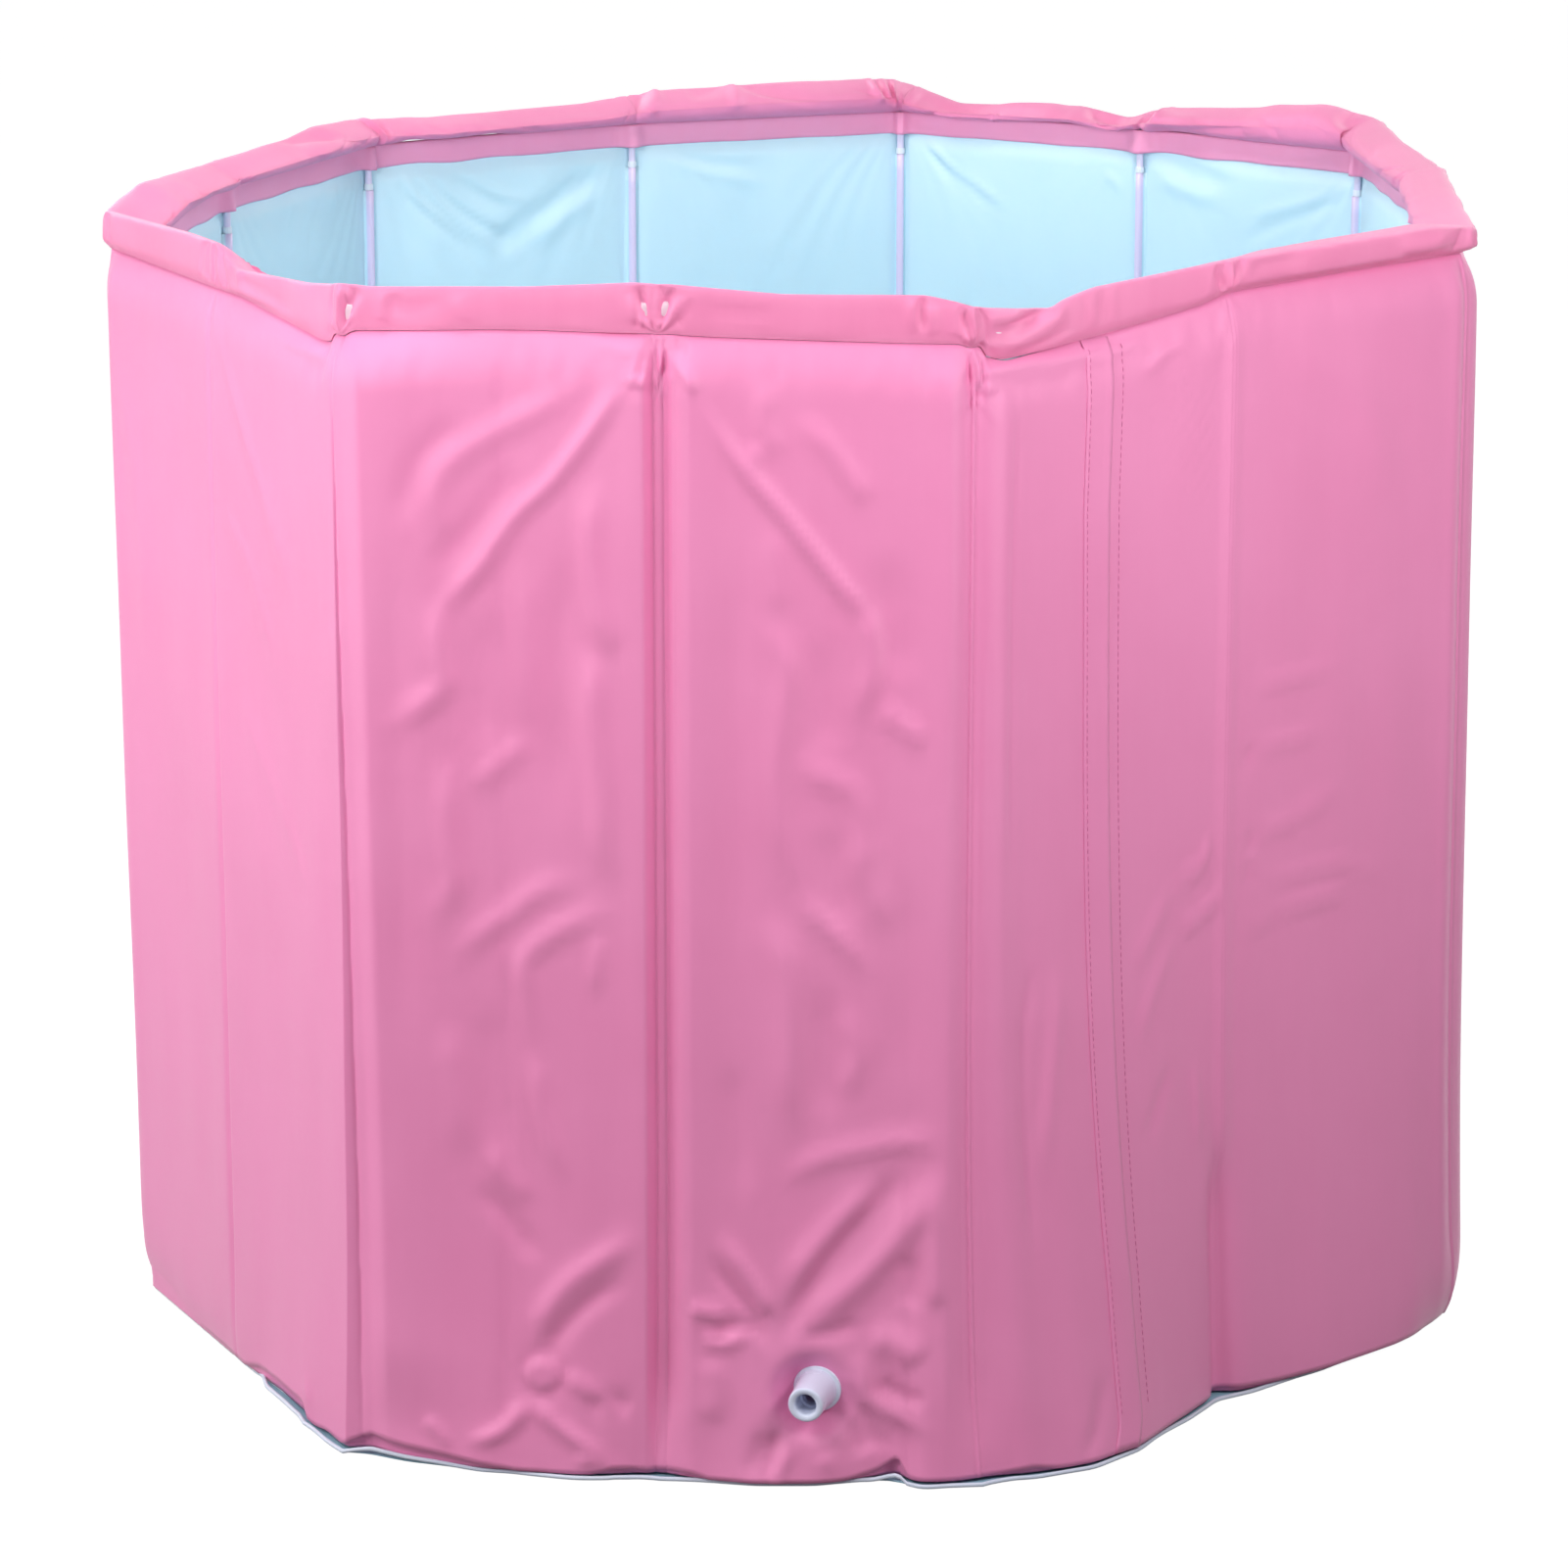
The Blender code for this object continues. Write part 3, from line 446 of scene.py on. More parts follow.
RIDGE_TAILS_MM = np.array([[5, 5], [5, 5], [6, 46], [9, 16], [8, 10], [5, 5], [5, 5]] + [[5, 5]] * 7)
BOARD_EDGE_START = 5.5 * MM
BOARD_EDGE_RADIUS = 6.0 * MM
BOARD_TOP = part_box("foam_board_04")[1].z
BEHIND_EDGE = 9 * MM
ABOVE_BOARD = 2.5 * MM
ABOVE_BOARD_SLOPE = 1.5
SKIN_BACK_DEPTH = 0.65 * MM
NEXT_CORNER = (np.arange(PANELS) + 1) % PANELS


def corner_of(panel, along):
    """Signed distance from the nearest corner, and that corner's number."""
    later = along > LENGTHS[panel] / 2
    distance = np.where(later, along - LENGTHS[panel], along)
    return distance, np.where(later, NEXT_CORNER[panel], panel)


def groove(panel, along, wander):
    """Flat weld in the middle with a fine line at each side, then a hollow flank up to the board's edge."""
    distance, corner = corner_of(panel, along)
    side = (distance > wander).astype(int)
    edge = BOARD_EDGES_MM[corner, side] * MM
    distance = np.abs(distance - wander)
    spread = np.where(distance > edge, RIDGE_TAILS_MM[corner, side] * MM, 0.62 * edge)
    half = WELD_HALF_MM[corner] * MM
    share = np.clip((distance - half) / (GROOVE_REACHES_MM[corner, side] * MM - half), 0, 1)
    line = 0.5 * MM * np.exp(-(((distance - half) / (0.55 * MM)) ** 2))
    ridge = EDGE_RIDGES_MM[corner, side] * MM * np.exp(-(((distance - edge) / spread) ** 2))
    return GROOVE_DEPTH_MM[corner] * MM * (1 - share) ** 1.3 + line - ridge


def board_limit(panel, along, height):
    """Greatest depth that the skin's face can have: just outside the board and its rounded edge."""
    distance, _ = corner_of(panel, along)
    arc = np.clip(BOARD_EDGE_START + BOARD_EDGE_RADIUS - np.abs(distance), 0, BOARD_EDGE_RADIUS)
    face = BOARD_FACE_DEPTH + BOARD_EDGE_RADIUS - np.sqrt(BOARD_EDGE_RADIUS**2 - arc**2)
    face = face + BEHIND_EDGE * (np.abs(distance) < BOARD_EDGE_START)
    face = face + ABOVE_BOARD_SLOPE * np.clip(height - BOARD_TOP - ABOVE_BOARD, 0, 1)
    return face - SKIN_BACK_DEPTH


# %% [markdown]
# The hem is read from the photograph too. Where it touches the ground, a pixel's ray gives how far
# the cloth has crept out from the wall; where it has lifted, the ray gives its height. A skirt
# that isn't weighted down always does both.

# %% The hem: how far it creeps out, and how high it lifts
HEM_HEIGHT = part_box("outer_skin")[0].z
CREEP_KNOTS_MM = (
    *((0, 0.1, 0.0), (0, 0.9, 0.5), (1, 0.3, 2.5), (1, 0.7, 5.5), (2, 0.05, 5.0), (2, 0.2, 13.0)),
    *((2, 0.45, 19.5), (2, 0.75, 17.0), (2, 0.95, 8.0), (3, 0.15, 14.0), (3, 0.3, 20.5), (3, 0.5, 20.0)),
    *((3, 0.68, 12.0), (3, 0.75, 9.0), (3, 0.84, 20.0), (3, 0.95, 17.0), (4, 0.02, 16.0), (4, 0.12, 27.0)),
    *((4, 0.3, 38.0), (4, 0.5, 37.0), (4, 0.8, 20.0), (4, 0.97, 9.0), (5, 0.1, 13.0), (5, 0.4, 18.0)),
    *((5, 0.8, 13.0), (5, 0.97, 5.0), (6, 0.3, 1.0), (8, 0.5, 2.0), (9, 0.5, 1.0), (11, 0.5, 3.0)),
    *((12, 0.5, 1.0), (13, 0.5, 1.0)),
)
CREEP_KNOTS = knots_of(CREEP_KNOTS_MM)
LIFT_KNOTS_MM = (
    *((0, 0.2, 0.5), (0, 0.9, 1.5), (1, 0.08, 1.0), (1, 0.22, 7.5), (1, 0.45, 8.5), (1, 0.66, 8.5)),
    *((1, 0.70, 0.0), (1, 0.78, 0.3), (1, 0.86, 2.5), (1, 0.97, 1.0), (2, 0.07, 10.5), (2, 0.16, 9.0)),
    *((2, 0.30, 6.5), (2, 0.45, 3.0), (2, 0.55, 0.5), (2, 0.80, 0.3), (2, 0.86, 4.0), (2, 0.97, 2.5)),
    *((3, 0.05, 3.5), (3, 0.10, 3.0), (3, 0.15, 0.0), (3, 0.6, 0.0), (3, 0.70, 4.5), (3, 0.77, 12.0)),
    *((3, 0.80, 1.0), (3, 0.95, 0.3), (4, 0.05, 1.5), (4, 0.12, 4.0), (4, 0.20, 0.8), (4, 0.5, 1.2)),
    *((4, 0.9, 2.5), (5, 0.04, 3.0), (5, 0.2, 1.5), (5, 0.7, 1.0), (5, 0.92, 2.0), (6, 0.3, 1.0)),
    *((7, 0.4, 3.0), (8, 0.6, 0.5), (9, 0.3, 3.5), (10, 0.5, 0.8)),
    *((11, 0.4, 4.0), (12, 0.6, 1.0), (13, 0.4, 2.5)),
)
LIFT_KNOTS = knots_of(LIFT_KNOTS_MM)
TUCK_KNOTS_MM = (
    *((0, 0.0, 9.0), (0, 0.5, 4.0), (1, 0.0, 2.0), (1, 0.5, 0.5)),
    *((2, 0.0, 0.0), (5, 0.0, 0.0), (5, 0.7, 1.5)),
    *((6, 0.0, 9.0), (6, 0.5, 5.0), (7, 0.0, 9.0), (7, 0.5, 4.0)),
    *((8, 0.0, 6.0), (8, 0.5, 3.0), (9, 0.0, 5.0)),
    *((9, 0.5, 3.0), (10, 0.0, 5.0), (10, 0.5, 3.0), (11, 0.0, 5.0)),
    *((11, 0.5, 2.0), (12, 0.0, 4.0), (13, 0.0, 8.0)),
)
TUCK_KNOTS = knots_of(TUCK_KNOTS_MM)
TUCK_HEIGHT = 50 * MM
SKIRT_HEIGHTS = np.array([0.10, 0.16, 0.24, 0.24, 0.42, 0.30] + [0.14] * 8)
WALL_PUFF_KNOTS_MM = (
    # panel, share of its length, how far the cloth stands off the board at the top and at the foot
    *((13, 0.0, 1.0, 0.5), (13, 0.5, 4.0, 2.0), (13, 0.9, 7.0, 2.5), (0, 0.05, 7.5, 2.2), (0, 0.5, 4.5, 1.5)),
    *((0, 0.9, 1.5, 0.5), (1, 0.3, 0.0, 0.0), (4, 0.8, 0.0, 0.0), (5, 0.4, 1.0, 4.0), (5, 0.8, 4.5, 9.0)),
    *((6, 0.0, 6.0, 11.5), (6, 0.5, 7.0, 12.0), (7, 0.0, 7.0, 12.0), (7, 0.5, 4.0, 7.0), (8, 0.0, 1.0, 2.0)),
    (8, 0.5, 0.0, 0.0),
)
PUFF_TOP_KNOTS = [(p, LENGTHS[p] * share, top * MM) for p, share, top, _ in WALL_PUFF_KNOTS_MM]
PUFF_FOOT_KNOTS = [(p, LENGTHS[p] * share, foot * MM) for p, share, _, foot in WALL_PUFF_KNOTS_MM]


def wall_puff(panel, along, height):
    """How far the loose cloth stands off its board: from one value at the foot to another at the top."""
    top = level_round(PUFF_TOP_KNOTS, panel, along, 12 * MM)
    foot = level_round(PUFF_FOOT_KNOTS, panel, along, 12 * MM)
    return foot + (top - foot) * np.clip(height / SEAM_HEIGHT, 0, 1)


def creep_at(panel, along):
    return level_round(CREEP_KNOTS, panel, along, 7 * MM)


def bulge_at(panel, along, above_hem):
    """The creep fades up the wall as a power of the height left; the tuck fades much sooner."""
    skirt_knots = [(p, LENGTHS[p] * share, SKIRT_HEIGHTS[p]) for p in range(PANELS) for share in (0.25, 0.75)]
    reach = level_round(skirt_knots, panel, along, 30 * MM)
    creep = creep_at(panel, along) * np.clip(1 - above_hem / reach, 0, 1) ** 2.3
    tuck = level_round(TUCK_KNOTS, panel, along, 10 * MM) * np.clip(1 - above_hem / TUCK_HEIGHT, 0, 1) ** 3
    return creep - tuck


def lift_at(panel, along):
    return level_round(LIFT_KNOTS, panel, along, 2.5 * MM)


# %% [markdown]
# These are the wrinkles of the outer skin, one line each: the panel, how far it stands out (or in,
# where negative) and how wide it is in millimetres, and the pixels that it passes. Most fan out
# from where the cloth is pinched: the corners' tops, the drain and the stud.

# %% Wrinkles of the skin
STUD_PANEL_WRINKLES = (
    (2, 2.0, 5.0, ((640, 392), (627, 405), (600, 445), (564, 491), (525, 527), (495, 573), (464, 609),
                   (450, 627))),
    (2, 1.7, 6.0, ((464, 607), (450, 632), (452, 673), (455, 698), (427, 722), (382, 750))),
    (2, 1.2, 7.0, ((612, 374), (573, 405), (536, 425), (491, 450), (459, 473), (445, 505), (450, 541),
                   (427, 588))),
    (2, 1.7, 7.5, ((614, 480), (604, 520), (603, 560), (609, 605), (620, 650), (634, 668))),
    (2, 1.9, 8.0, ((610, 655), (606, 690), (607, 735), (614, 795), (618, 864), (632, 910))),
    (2, 1.5, 7.0, ((464, 765), (459, 809), (461, 864), (464, 905), (432, 950))),
    (2, 1.1, 5.0, ((545, 750), (509, 782), (478, 802))),
    (2, 0.7, 7.0, ((534, 565), (536, 659), (539, 755))),
    (2, 1.5, 5.5, ((605, 903), (555, 908), (523, 932), (495, 950), (460, 985))),
    (2, 1.6, 5.5, ((640, 925), (595, 939), (559, 957), (536, 980), (539, 1009), (548, 1086))),
    (2, 1.2, 5.0, ((546, 1070), (555, 1132), (582, 1215))),
    (2, 1.0, 8.0, ((459, 1040), (468, 1105), (477, 1185))),
    (2, 0.9, 5.0, ((614, 950), (609, 985), (611, 1015))),
    (2, 1.8, 6.5, ((660, 1256), (623, 1280), (586, 1305), (561, 1336), (550, 1372))),
    (2, -1.5, 5.0, ((652, 1298), (605, 1327), (575, 1357), (564, 1384))),
    (2, -1.2, 5.5, ((488, 1205), (523, 1245), (556, 1290))),
    (2, 1.0, 6.0, ((500, 1165), (520, 1200), (545, 1225))),
    (2, -1.0, 9.0, ((405, 520), (408, 700), (413, 900), (420, 1100))),
    (2, -0.9, 10.0, ((500, 620), (495, 700), (500, 770))),
    (2, -1.0, 9.0, ((575, 560), (570, 700), (575, 850))),
    (2, -0.9, 9.0, ((500, 1020), (505, 1100), (515, 1180))),
    (2, -1.0, 7.0, ((530, 470), (490, 530), (440, 590))),
    (2, -0.8, 7.0, ((480, 420), (430, 470), (410, 540))),
    (2, 1.8, 4.5, ((543, 1416), (535, 1436), (515, 1452), (480, 1463))),
    (2, 1.5, 4.0, ((548, 1416), (570, 1440), (600, 1462), (632, 1482))),
    (2, 1.2, 5.0, ((577, 1392), (610, 1415), (640, 1440))),
    (2, -1.2, 6.0, ((600, 1430), (625, 1425), (655, 1430))),
    (2, 1.0, 4.0, ((440, 1436), (455, 1450), (470, 1470))),
    (2, 2.2, 5.0, ((590, 1478), (620, 1486), (655, 1500))),
)
POCKET_WRINKLES = (
    (2, -2.2, 2.0, ((657, 358), (654, 374), (653, 392))),
    (2, 1.2, 1.6, ((640, 389), (652, 391), (664, 393))),
    (2, -1.3, 1.5, ((640, 396), (654, 398), (666, 399))),
    (2, -1.2, 2.4, ((600, 338), (630, 341), (656, 343))),
    (2, 1.0, 3.0, ((600, 352), (630, 356), (650, 366))),
    (3, 1.6, 1.5, ((672, 352), (673, 370), (672, 388))),
    (3, -1.0, 1.4, ((677, 354), (678, 372), (677, 390))),
    (3, -2.2, 2.2, ((688, 349), (695, 354), (704, 353))),
    (3, 1.2, 3.0, ((682, 362), (700, 382), (712, 404))),
    (3, -1.5, 1.5, ((995, 360), (994, 380), (994, 400))),
    (4, 1.8, 1.5, ((1002, 360), (1003, 380), (1002, 400))),
    (4, -1.2, 1.5, ((1008, 364), (1009, 380), (1009, 398))),
    (4, -1.4, 1.6, ((1000, 403), (1010, 405), (1022, 401))),
    (4, 1.0, 1.8, ((1002, 397), (1012, 398), (1024, 394))),
    (4, -1.6, 2.0, ((1022, 376), (1034, 383), (1040, 394))),
)
DRAIN_PANEL_WRINKLES = (
    (3, 2.0, 4.5, ((706, 398), (749, 464), (799, 523), (835, 568), (872, 614), (886, 636))),
    (3, 1.4, 6.0, ((878, 620), (888, 645), (888, 690), (867, 750))),
    (3, 1.0, 5.5, ((781, 385), (781, 432), (801, 472))),
    (3, 1.2, 6.0, ((812, 420), (845, 455), (872, 491), (887, 520))),
    (3, 0.8, 4.0, ((768, 452), (776, 480))),
    (3, 0.8, 7.0, ((790, 535), (795, 632))),
    (3, 1.5, 7.0, ((764, 620), (790, 650), (804, 680), (799, 727), (792, 786), (795, 841), (808, 886),
                   (838, 936))),
    (3, 1.3, 6.5, ((806, 766), (835, 791), (872, 808), (881, 850), (876, 915))),
    (3, 1.2, 5.5, ((893, 718), (922, 741), (950, 762))),
    (3, 1.4, 5.0, ((812, 912), (835, 938), (858, 959), (898, 1004))),
    (3, 1.9, 8.0, ((774, 930), (799, 973), (806, 1032), (806, 1105), (812, 1175))),
    (3, 1.2, 8.0, ((881, 845), (885, 895), (910, 958))),
    (3, 1.0, 6.0, ((857, 1025), (876, 1073), (857, 1128))),
    (3, 1.4, 5.5, ((790, 1212), (831, 1186), (876, 1173), (931, 1164), (968, 1172))),
    (3, 2.2, 8.0, ((905, 1205), (878, 1228), (845, 1262), (820, 1292), (800, 1335))),
    (3, -2.0, 6.0, ((935, 1188), (895, 1227), (845, 1282), (815, 1332), (795, 1375))),
    (3, 2.4, 8.0, ((962, 1190), (931, 1241), (895, 1286), (856, 1322), (816, 1357))),
    (3, 1.6, 6.0, ((954, 1185), (955, 1250), (954, 1305), (958, 1335))),
    (3, -1.2, 7.0, ((925, 1275), (930, 1305), (925, 1335))),
    (3, 1.8, 4.5, ((730, 1254), (758, 1291), (778, 1322), (786, 1343))),
    (3, -1.3, 4.5, ((717, 1275), (745, 1309), (772, 1336), (793, 1366))),
    (3, 1.6, 4.0, ((700, 1334), (722, 1334), (747, 1340))),
    (3, -1.5, 2.6, ((711, 1349), (735, 1355), (757, 1347), (776, 1355), (796, 1378))),
    (3, 1.3, 4.0, ((714, 1362), (738, 1366), (765, 1358))),
    (3, -1.3, 4.0, ((814, 1361), (849, 1356), (884, 1349))),
    (3, 2.0, 9.0, ((880, 1360), (915, 1368), (940, 1388))),
    (3, 1.2, 4.0, ((872, 1369), (880, 1395), (884, 1420), (913, 1438), (962, 1456))),
    (3, -1.4, 4.5, ((892, 1403), (918, 1417), (950, 1422))),
    (3, -1.2, 4.0, ((884, 1420), (881, 1441), (893, 1462), (913, 1475))),
    (3, -1.5, 5.0, ((858, 1440), (873, 1458), (884, 1478))),
    (3, -1.6, 4.0, ((796, 1443), (790, 1480), (777, 1508))),
    (3, 1.5, 4.5, ((807, 1452), (795, 1490), (782, 1512))),
    (3, -1.2, 6.0, ((783, 1448), (775, 1475), (765, 1500))),
    (3, 1.2, 6.0, ((838, 1468), (848, 1490), (853, 1508))),
    (3, 1.2, 8.0, ((725, 1375), (730, 1410), (724, 1450))),
    (3, -0.9, 9.0, ((745, 560), (748, 700), (752, 850), (760, 1000))),
    (3, -0.9, 9.0, ((840, 640), (842, 720), (846, 770))),
    (3, -0.9, 10.0, ((900, 560), (915, 640), (918, 700))),
    (3, -0.9, 9.0, ((848, 840), (850, 900), (870, 950))),
    (3, -0.9, 9.0, ((840, 1000), (842, 1080), (845, 1150))),
    (3, -0.8, 9.0, ((920, 880), (925, 1000), (922, 1120))),
    (3, -0.9, 7.0, ((745, 1080), (752, 1150), (762, 1225))),
)
LAP_PANEL_WRINKLES = (
    (4, -0.8, 2.5, ((1037, 385), (1034, 520), (1030, 760), (1028, 960))),
    (4, -0.9, 2.5, ((1042, 985), (1046, 1008), (1038, 1060), (1036, 1205), (1040, 1300))),
    (4, 0.9, 5.0, ((1076, 980), (1064, 1077), (1048, 1214))),
    (4, -0.6, 3.0, ((1068, 1000), (1056, 1090), (1044, 1180))),
    (4, 1.2, 2.6, ((1236, 852), (1222, 884), (1190, 909))),
    (4, 0.8, 3.5, ((1195, 905), (1170, 950), (1152, 990))),
    (4, 1.2, 2.6, ((1250, 903), (1225, 932), (1198, 955))),
    (4, 0.8, 3.5, ((1200, 952), (1171, 1009), (1152, 1070))),
    (4, -0.9, 3.0, ((1190, 1082), (1172, 1122), (1156, 1166))),
    (4, 0.7, 3.0, ((1213, 1080), (1216, 1130), (1214, 1170))),
    (4, 0.9, 3.5, ((1165, 385), (1185, 362), (1215, 345))),
    (4, -1.0, 4.0, ((1050, 1496), (1075, 1440), (1090, 1380))),
)
SIDE_PANEL_WRINKLES = (
    (5, 0.8, 3.0, ((1272, 697), (1315, 690), (1372, 673))),
    (5, 0.7, 3.0, ((1272, 767), (1310, 755), (1350, 742))),
    (5, 0.9, 3.0, ((1276, 850), (1320, 832), (1366, 800))),
    (5, 0.9, 2.8, ((1276, 898), (1320, 888), (1360, 881), (1418, 892))),
    (5, 0.9, 2.8, ((1276, 926), (1335, 918), (1372, 903))),
    (5, 0.7, 2.6, ((1262, 941), (1295, 939))),
    (5, -0.8, 2.4, ((1262, 770), (1278, 776))),
    (5, -0.8, 2.4, ((1264, 855), (1281, 862))),
    (5, -0.8, 2.4, ((1264, 890), (1284, 899))),
    (5, 0.8, 12.0, ((1300, 340), (1380, 400), (1420, 520))),
    (1, 0.8, 3.5, ((222, 330), (250, 436), (282, 541), (297, 620))),
    (1, 0.6, 3.5, ((230, 514), (259, 586), (288, 700))),
    (1, 0.5, 3.5, ((240, 700), (280, 800), (327, 935))),
    (1, 0.9, 4.0, ((326, 1410), (322, 1432), (326, 1452))),
    (0, 0.7, 9.0, ((128, 330), (150, 500), (160, 700))),
)


# %% Fine slanting ripples beside the closing lap
RIPPLE_DEPTH = 0.22 * MM
RIPPLE_PITCH = 9.5 * MM
RIPPLE_SWAY = 31 * MM
RIPPLE_LOW = 0.16
RIPPLE_HIGH = 0.60
RIPPLE_LOW_FADE = 0.2
RIPPLE_HIGH_FADE = 0.04


def lap_ripples(panel, along, height):
    """Parallel ripples on a slant, in a window that fades out at its sides and towards the ground."""
    share = along / LENGTHS[LAP_PANEL]
    window = ease((share - 0.60) / 0.08) * ease((0.97 - share) / 0.08)
    window = window * ease((height - RIPPLE_LOW) / RIPPLE_LOW_FADE)
    window = window * ease((RIPPLE_HIGH - height) / RIPPLE_HIGH_FADE) * (panel == LAP_PANEL)
    slant = along - 0.85 * height
    sway = 1.5 * np.sin(slant / RIPPLE_SWAY)
    return RIPPLE_DEPTH * window * np.sin(math.tau * slant / RIPPLE_PITCH + sway)


# %% Wrinkles of the panels that the photograph doesn't show
HIDDEN_PANELS = range(6, PANELS)
HIDDEN_FOLDS = 9


def hidden_wrinkles(panel, along, height):
    """A few long folds on each far panel: from a top corner down and across, with seeded places."""
    random = np.random.default_rng(71)
    relief = np.zeros(along.shape)
    for far in HIDDEN_PANELS:
        chosen = panel == far
        points = np.stack([along[chosen], height[chosen]], axis=1)
        total = np.zeros(len(points))
        for _ in range(HIDDEN_FOLDS):
            side = random.integers(2)
            shares = random.uniform(0.12, 0.88, 2)
            tops = np.sort(random.uniform(0.05, 0.59, 2))
            bend = random.uniform(-0.02, 0.02)
            start = np.array([shares[side] * LENGTHS[far], tops[1]])
            end = np.array([shares[1 - side] * LENGTHS[far], tops[0]])
            line = smooth_line([start, (start + end) / 2 + bend, end])
            total += stroke(points, line, random.uniform(-0.8, 1.6) * MM, random.uniform(4, 9) * MM)
        relief[chosen] = total
    return relief


# %% [markdown]
# The skin is one closed grid. The outer rows climb from the hem to the seam, and a few coarse rows
# come back down inside, so it has a thickness and a hem edge. Columns crowd at the corners, where
# the grooves are, and on the two front panels, where the photograph shows most.

# %% The skin's rows and columns
SKIN_COUNTS = [28, 42, 94, 94, 70, 50] + [24] * 8
SKIN_ROWS = 140
SKIN_BACK_SHARES = np.array(
    [1.0, 0.93, 0.82, 0.7, 0.58, 0.47, 0.38, 0.3, 0.23, 0.17, 0.12, 0.08, 0.045, 0.02])
EDGE_PUFF = 1.3 * MM
SHOULDER_HEIGHT = 30 * MM


def skin_rows():
    """Shares of the height: even steps, drawn towards the hem and the seam."""
    share = np.linspace(0, 1, SKIN_ROWS)
    return share - 0.35 * np.sin(math.tau * share) / math.tau


def disc_and_dish(across, up, radius, rise):
    """A raised disc with a soft edge, in a shallow dish."""
    distance = np.hypot(across, up)
    disc = rise * ease((radius + 1.2 * MM - distance) / (2.4 * MM))
    dish = -0.9 * MM * np.exp(-(((distance - radius * 1.35) / (0.35 * radius)) ** 2))
    return disc + dish


# %% Relief of the skin: everything that makes it stand out or sink in
WRINKLE_SCALE = 1.88
STUD_MIDDLE = middle_of("wall_stud")
DRAIN_MIDDLE = middle_of("drain_spout")
STUD_RADIUS = (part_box("wall_stud")[1].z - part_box("wall_stud")[0].z) / 2


def along_panel(point, panel):
    return float((point[:2] - CORNERS[panel]) @ ALONG[panel])


STUD_ALONG = along_panel(STUD_MIDDLE, STUD_PANEL)
DRAIN_ALONG = along_panel(DRAIN_MIDDLE, DRAIN_PANEL)


def skin_relief(panel, along, height):
    """Strokes, ripples, puckers and waves together, in metres out of the wall."""
    panel, along, height = np.broadcast_arrays(panel, along, height)
    station = STARTS[panel] + along
    table = STUD_PANEL_WRINKLES + DRAIN_PANEL_WRINKLES + LAP_PANEL_WRINKLES
    table += SIDE_PANEL_WRINKLES + POCKET_WRINKLES
    relief = WRINKLE_SCALE * strokes_on(panel, along, height, table)
    relief += hidden_wrinkles(panel, along, height) + lap_ripples(panel, along, height)
    relief += 0.20 * MM * waves(station, height, 5, 22, 0.30, 0.06)
    relief += 0.4 * MM * waves(station, height, 8, 14, 0.9, 0.16)
    distance, corner = corner_of(panel, along)
    above_seam = height - seam_at(panel, along)
    relief += corner_puckers(distance, corner, above_seam)
    relief += 0.30 * MM * waves(station, height, 61, 12, 0.08, 0.02) * bell(above_seam + 14 * MM, 11 * MM)
    stud = disc_and_dish(along - STUD_ALONG, height - STUD_MIDDLE[2], STUD_RADIUS, 1.6 * MM)
    return relief + stud * (panel == STUD_PANEL)


PUCKER_TURNS = np.random.default_rng(12).uniform(0, math.tau, PANELS)
PUCKER_SIZES = np.array([0.7, 0.7, 1.0, 1.4, 1.4, 0.8, 0.8, 0.8, 0.9, 0.7, 1.0, 0.8, 0.9, 0.8])
POCKET_DROPS_MM = {3: 29.0, 4: 27.0}


def corner_puckers(distance, corner, above_seam):
    """Stars of folds: one where each corner is gathered at the seam, one at the top of each open pocket."""
    turn, size = PUCKER_TURNS[corner], PUCKER_SIZES[corner]
    relief = 1.1 * MM * size * pucker(distance, above_seam, 7, 11 * MM, turn)
    for pocket, drop in POCKET_DROPS_MM.items():
        star = pucker(distance, above_seam + drop * MM, 6, 6 * MM, turn + 1)
        relief = relief + 1.0 * MM * star * (corner == pocket)
    return relief


# %% Build the outer skin
SPOUT_SWING = math.radians(14.5)
SPOUT_SEAT = 2.6 * MM
FLANGE_PULL_REACH = 21.5 * MM
GROOVE_WANDER = 8.5 * MM
WANDER_TOP = 0.62
SEAM_TUCK = 0.4 * MM
HEM_GROOVE_FADE = 60 * MM
HEM_RELIEF_FADE = 14 * MM


def flange_pull(panel, along, height, depth):
    """Near the drain the skin is drawn to the flange, whose face is swung round to one side."""
    across, up = along - DRAIN_ALONG, height - DRAIN_MIDDLE[2]
    seat = -SPOUT_SEAT - across * math.tan(SPOUT_SWING) - 0.1 * up
    pull = (panel == DRAIN_PANEL) * np.exp(-((np.hypot(across, up) / FLANGE_PULL_REACH) ** 6))
    return depth * (1 - pull) + seat * pull


PINCHED_CORNER = 5
PINCH_TOP = 0.165
PINCH_DEPTH = 6.0 * MM
PINCH_FADE = 60 * MM


def foot_pinch(panel, along, height):
    """The sixth corner's foot is drawn in: a bell across the corner that fades in below its top."""
    distance, corner = corner_of(panel, along)
    drawn = (corner == PINCHED_CORNER) * PINCH_DEPTH * bell(distance + 2 * MM, 7 * MM)
    return drawn * ease((PINCH_TOP - height) / PINCH_FADE)


